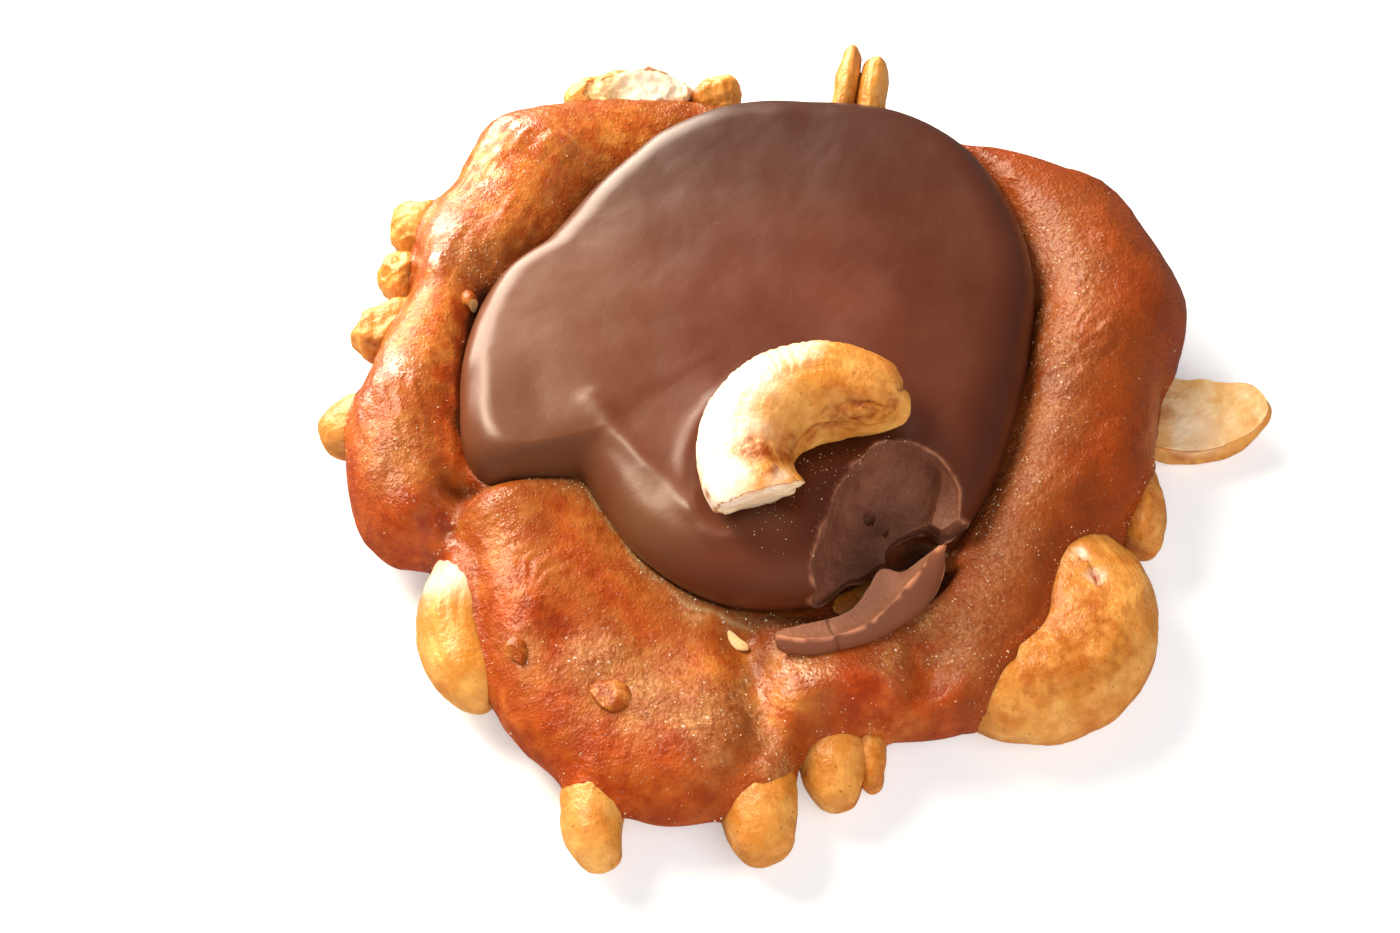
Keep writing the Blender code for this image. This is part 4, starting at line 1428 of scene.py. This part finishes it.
    def build(self, nuts: dict[str, Clay], surface: Material) -> tuple[Clay, np.ndarray]:
        """Makes the lump.

        Args:
            nuts: The kernels that are set in it.
            surface: Its material.

        Returns:
            The finished clay, and how likely a loose grain is at each of its points.
        """
        rows = self.section()
        clay, ring, segment = add_ball("cooked_caramel", self.segments, len(rows) - 1)
        radius, height = rows[ring, segment].T
        turn = segment * 360 / self.segments
        reach = around(CARAMEL_REACH, turn)
        well = around(CHOCOLATE_EDGE, turn) - self.overlap
        clay.points[:, :2] = on_pour(turn, radius)
        first = len(self.middle_shares) + self.seat_rings
        last = first + self.inner_rings + self.outer_rings
        on_top = ((ring >= first) & (ring < last)).astype(float)
        free = on_top * ease((reach - radius) / self.tuck) * ease((radius - well) / 1.5)
        swell = sum(tall * spots(clay.points, ((x, y, wide, 1.0),)) for x, y, wide, tall in self.bumps)
        sink = sum(
            deep * line_cover(clay.points, ((line, wide, 1.0),)) for line, wide, deep in self.creases
        )
        clay.points[:, 2] = height + free * (swell - sink)
        self.press_hollow(clay, ring < last)
        shown = (ring < last + self.under_rings).astype(float) * ease((radius - well) / 1.0)
        zones = self.zones(clay, radius, reach)
        lumps = uneven(clay.points, (0.35, 7.0, 2, 2.0), (0.14, 2.6, 2, 9.0))
        lumps += 0.05 * grit(clay.points, 1.1, 2, 4.0) * (0.7 + 1.2 * zones["sugar"])
        lumps += self.wrinkles(clay) + self.folds(clay)
        near = {name: distances(clay.points, nut.tree(), self.near_nut) for name, nut in nuts.items()}
        nearest = np.minimum.reduce(list(near.values()))
        covered = np.minimum.reduce([near[name] for name in self.coated])
        cling = fade(nearest, 0.55)
        over = ease((clay.points[:, 2] - 3.0) / 2.0)
        coat = self.coat + 0.15 * grit(clay.points, 2.0, 2, 44.0) - covered
        coat = softened(np.clip(coat, 0.0, self.thickest_coat) * over, ring, segment, 5)
        clay.push(shown * (np.maximum(lumps * (1 - 0.5 * cling) + 0.3 * cling, coat)))
        clay.points[:, 2] = np.maximum(clay.points[:, 2], 0.0)
        clay.press()
        for name, values in zones.items():
            clay.paint(name, values)
        clay.dress(surface, 60, Slot.CARAMEL, "caramel")
        seams = fade(nearest - 0.4, 0.35)
        return clay, shown * (np.clip(zones["sugar"], 0, 1) ** 2 + 0.25 * seams + 0.01)

    def press_hollow(self, clay: Clay, allowed: np.ndarray) -> None:
        """Presses the hollow under the break into the seat.

        Args:
            clay: The lump.
            allowed: Which points may move.
        """
        long, wide, tall = self.hollow.half_sizes
        along, across = along_across(clay.points - self.hollow.centre, self.hollow.turn)
        left = np.maximum(1 - (along / long) ** 2 - (across / wide) ** 2, 0.0)
        floor = self.hollow.centre[2] - tall * np.sqrt(left)
        inside = allowed & (left > 0)
        clay.points[inside, 2] = np.minimum(clay.points[inside, 2], floor[inside])

    def zones(self, clay: Clay, radius: np.ndarray, reach: np.ndarray) -> dict[str, np.ndarray]:
        """Where the caramel has crystallised, is deep, thin, wet or glazed, and where shade and light are
        painted on it.

        Args:
            clay: The lump.
            radius: Each point's distance from POUR.
            reach: The rim's distance there.

        Returns:
            Values between 0 and 1 under the names that the material reads.
        """
        warp = np.stack([grit(clay.points, 3.5, 2, shift) for shift in (11.0, 23.0, 37.0)], axis=1)
        loose = clay.points + 1.6 * warp
        patchy = 0.5 + 0.5 * grit(clay.points, 4.0, 3, 15.0)
        rim = fade(reach - radius, self.rim_width)
        # how far left a point lies; it lightens the caramel there as painted light and weights the painted
        # rim glow
        left = ease((-clay.points[:, 0] + 8) / 20)
        front = ease((12 - clay.points[:, 1]) / 16)
        sugar = np.maximum(spots(loose, self.sugar_spots), line_cover(loose, self.sugar_lines))
        # darker red-brown caramel, partly painted shade
        deep = np.maximum(spots(loose, self.deep_and_shaded_spots), line_cover(loose, self.deep_and_shaded_lines))
        # rims painted a deeper, redder orange as a painted glow of light through the thin caramel, weighted
        # by how far left and to the front they lie
        glow = rim * (0.35 + 0.5 * left * front) * (1 - 0.7 * left * (1 - front)) * (0.4 + 0.8 * patchy)
        # near-black painted shade in the hollow under the break, below a height, and along the crevices by
        # the chocolate
        painted_shade = spots(clay.points + 0.5 * warp, self.painted_shade_spots) * (clay.points[:, 2] < self.painted_shade_top)
        close = clay.points + 0.4 * warp
        glaze = line_cover(close, self.glaze_lines) * ease(1.2 * grit(clay.points, 1.0, 2, 61.0) + 0.7)
        return {
            "sugar": sugar * (0.75 + 0.5 * patchy), "deep": np.maximum(deep, glow),
            "amber_and_lit": np.maximum(spots(loose, self.amber_and_lit_spots), 0.35 * left) * (0.6 + 0.6 * patchy),
            "wet": spots(loose, self.wet_spots) * ease(1.4 * grit(loose, 2.2, 3, 71.0) + 0.6),
            "painted_shade": np.maximum(painted_shade, line_cover(close, self.painted_shade_lines)), "glaze": glaze
        }

    def folds(self, clay: Clay) -> np.ndarray:
        """Soft long folds that the lump set in.

        Args:
            clay: The lump.

        Returns:
            One height for each point.
        """
        heights = np.zeros(len(clay.points))
        for spot, degrees, tall in self.fold_spots:
            along, across = along_across(clay.points, degrees)
            drawn = np.stack((along * 0.3, across, clay.points[:, 2] * 0.3), axis=1)
            heights += tall * grit(drawn, 3.2, 3, 51.0) * spots(clay.points, (spot,))
        return heights

    def wrinkles(self, clay: Clay) -> np.ndarray:
        """Fine folds of the skin where it bunched up as it set.

        Args:
            clay: The lump.

        Returns:
            One height for each point.
        """
        heights = np.zeros(len(clay.points))
        sway = 1.1 * grit(clay.points, 3.0, 2, 31.0)
        for spot, degrees in self.wrinkle_spots:
            along, _ = along_across(clay.points, degrees)
            folds = np.sin((along + sway) * 2 * math.pi / self.wrinkle_gap)
            heights += self.wrinkle_height * spots(clay.points, (spot,)) * folds
        return heights


@dataclass
class CashewCrumbs:
    """Small crumbs of cashew stuck on the caramel, as (x, y, half sizes, turn), one of them pale."""

    places: tuple = (
        (-20.6, -20.9, (0.75, 1.2, 0.6), 10), (-12.9, -25.1, (1.6, 1.3, 0.55), -25),
        (-2.4, -18.9, (1.25, 0.5, 0.4), -38), (-25.6, 14.0, (0.6, 0.9, 0.8), 15)
    )
    facets: int = 9
    facet_depth: float = 0.68
    roughness: float = 0.05
    seed: int = 5
    swelling: float = 1.3
    pale: int = 2

    def build(self, caramel: Clay, surface: Material) -> None:
        """Makes the crumbs.

        Args:
            caramel: What they are stuck on.
            surface: Their material.
        """
        tree = caramel.tree()
        chance = np.random.default_rng(self.seed)
        for index, (x, y, half_sizes, degrees) in enumerate(self.places):
            clay, _, _ = add_ball(f"cashew_crumb_{index}", 40, 28)
            place, _, _, _ = tree.ray_cast((x, y, 30.0), (0, 0, -1))
            directions = chance.normal(size=(self.facets, 3))
            directions /= np.linalg.norm(directions, axis=1)[:, None]
            broken = np.zeros(len(clay.points))
            for direction in directions:
                rough = self.roughness * grit(clay.points, 0.6, 2, index * 3.0)
                beyond = clay.points @ direction - self.facet_depth + rough
                clay.points -= np.maximum(beyond, 0.0)[:, None] * direction
                broken = np.maximum(broken, (beyond > 0) * (direction[0] > 0.3))
            clay.points = clay.points * half_sizes * self.swelling
            turn = Matrix.Rotation(math.radians(degrees), 3, "Z")
            clay.points = clay.points @ np.array(turn).T + np.array(place)
            clay.press()
            pale = broken if index != self.pale else 1 + 0 * broken
            for name, values in (("flesh", pale), ("roast", 0 * broken + 1.0), ("stain", 1.1 * (1 - pale))):
                clay.paint(name, values)
            clay.comb(clay.points)
            clay.dress(surface, 25, Slot.CASHEW)


@dataclass
class Grains:
    """Loose grains stuck on a surface, all in one piece. sizes are the least and largest half size."""

    name: str
    slot: Slot
    count: int
    sizes: tuple[float, float]
    seed: int

    def build(self, base: Clay, likely: np.ndarray, surface: Material) -> None:
        """Makes the grains.

        Args:
            base: What they lie on.
            likely: How likely a grain is at each of its points.
            surface: Their material.
        """
        deselect()
        bpy.ops.mesh.primitive_ico_sphere_add(subdivisions=1, radius=MM, calc_uvs=False)
        piece = bpy.context.object
        piece.name = self.name
        apply_modifier(
            piece, "ARRAY", count=self.count, use_relative_offset=False, use_constant_offset=True,
            constant_offset_displace=(4 * MM, 0.0, 0.0)
        )
        clay = Clay(piece)
        shape = clay.points[: len(clay.points) // self.count]
        chance = np.random.default_rng(self.seed)
        share = likely[base.order] / likely.sum()
        chosen = base.order[chance.choice(len(share), self.count, replace=False, p=share)]
        turns, _ = np.linalg.qr(chance.normal(size=(self.count, 3, 3)))
        turns *= np.sign(np.linalg.det(turns))[:, None, None]
        least, largest = self.sizes
        girth = least + (largest - least) * chance.random(self.count) ** 3
        stretch = girth[:, None, None] * (0.6 + 0.6 * chance.random((self.count, 1, 3)))
        bent = shape * (1 + 0.25 * chance.normal(size=(self.count, len(shape), 1)).clip(-1, 1))
        grains = np.einsum("gcx,gxy->gcy", bent * stretch, turns)
        clay.points = (grains + base.points[chosen][:, None]).reshape(-1, 3)
        clay.press()
        piece.data.materials.append(surface)
        settle(piece, self.slot)


@dataclass
class Studio:
    """Floor, lights and camera.

    lamps are square soft lights that look at the target, as (name, place, side, watts, colour, whether
    they show in gloss).
    """

    target: Place = (-5.2, 0.0, 6.0)
    distance: float = 340.0
    elevation: float = 55.0
    lens: float = 100.0
    floor_size: float = 4000.0
    lamps: tuple = (
        ("window", (-250.0, 150.0, 310.0), 210.0, 1.8, "FFE9C8", True),
        ("window_middle", (-250.0, 150.0, 310.0), 70.0, 0.7, "FFE9C8", True),
        ("rim", (-200.0, 310.0, 95.0), 330.0, 4.4, "FFF1DC", True),
        ("fill", (140.0, -300.0, 270.0), 420.0, 1.75, "FFFAF4", False)
    )
    sky: float = 0.15

    def build(self, paper: Material) -> None:
        """Sets the stage.

        Args:
            paper: The floor's material.
        """
        deselect()
        bpy.ops.mesh.primitive_plane_add(size=self.floor_size * MM)
        floor = bpy.context.object
        floor.name = "paper_floor"
        floor.data.materials.append(paper)
        floor.visible_glossy = False
        for name, place, size, power, tint, glossy in self.lamps:
            data = bpy.data.lights.new(name, "AREA")
            data.size = size * MM
            data.energy = power
            data.color = srgb(tint)[:3]
            lamp = bpy.data.objects.new(name, data)
            bpy.context.scene.collection.objects.link(lamp)
            lamp.location = Vector(place) * MM
            lamp.rotation_euler = (Vector(place) - Vector(self.target)).to_track_quat("Z", "Y").to_euler()
            lamp.visible_glossy = glossy
        world = bpy.data.worlds.new("studio")
        world.use_nodes = True
        backdrop = world.node_tree.nodes["Background"]
        backdrop.inputs["Color"].default_value = srgb("FFFFFF")
        backdrop.inputs["Strength"].default_value = self.sky
        scene = bpy.context.scene
        scene.world = world
        scene.view_settings.view_transform = "Standard"
        tilt = math.radians(self.elevation)
        data = bpy.data.cameras.new("camera")
        data.lens = self.lens
        data.clip_start = 0.01
        camera = bpy.data.objects.new("camera", data)
        scene.collection.objects.link(camera)
        back = Vector((0.0, -math.cos(tilt), math.sin(tilt))) * self.distance
        camera.location = (Vector(self.target) + back) * MM
        camera.rotation_euler = (math.pi / 2 - tilt, 0.0, 0.0)
        scene.camera = camera


def main() -> None:
    """Builds the pieces in order."""
    logging.basicConfig(level=logging.INFO, format="%(name)s %(message)s")
    cashew = RoastedCashew("oil_roasted_cashew").material
    cooked = CookedCaramel("cooked_sugar_caramel").material
    skin = PouredChocolate("poured_milk_chocolate").material
    broken = BrokenChocolate("snapped_milk_chocolate").material
    sugar = LooseSugar("sugar_grains").material
    nuts = {nut.node: nut.build(cashew) for nut in CASHEWS}
    top_nut = nuts.pop("cashew_top")
    disc = ChocolateDisc().build(top_nut, skin, broken)
    ChocolateShard().build(skin, broken)
    caramel, grainy = Caramel().build(nuts, cooked)
    CashewCrumbs().build(caramel, cashew)
    Grains("sugar_crystals", Slot.CARAMEL, 2400, (0.03, 0.09), 3).build(caramel, grainy, sugar)
    dusty = spots(disc.points, DUSTY) * (disc.points[:, 2] > 13)
    Grains("nut_dust", Slot.CASHEW, 160, (0.03, 0.09), 8).build(disc, dusty, sugar)
    Studio().build(PaperFloor("white_paper").material)


if __name__ == "__main__":
    main()
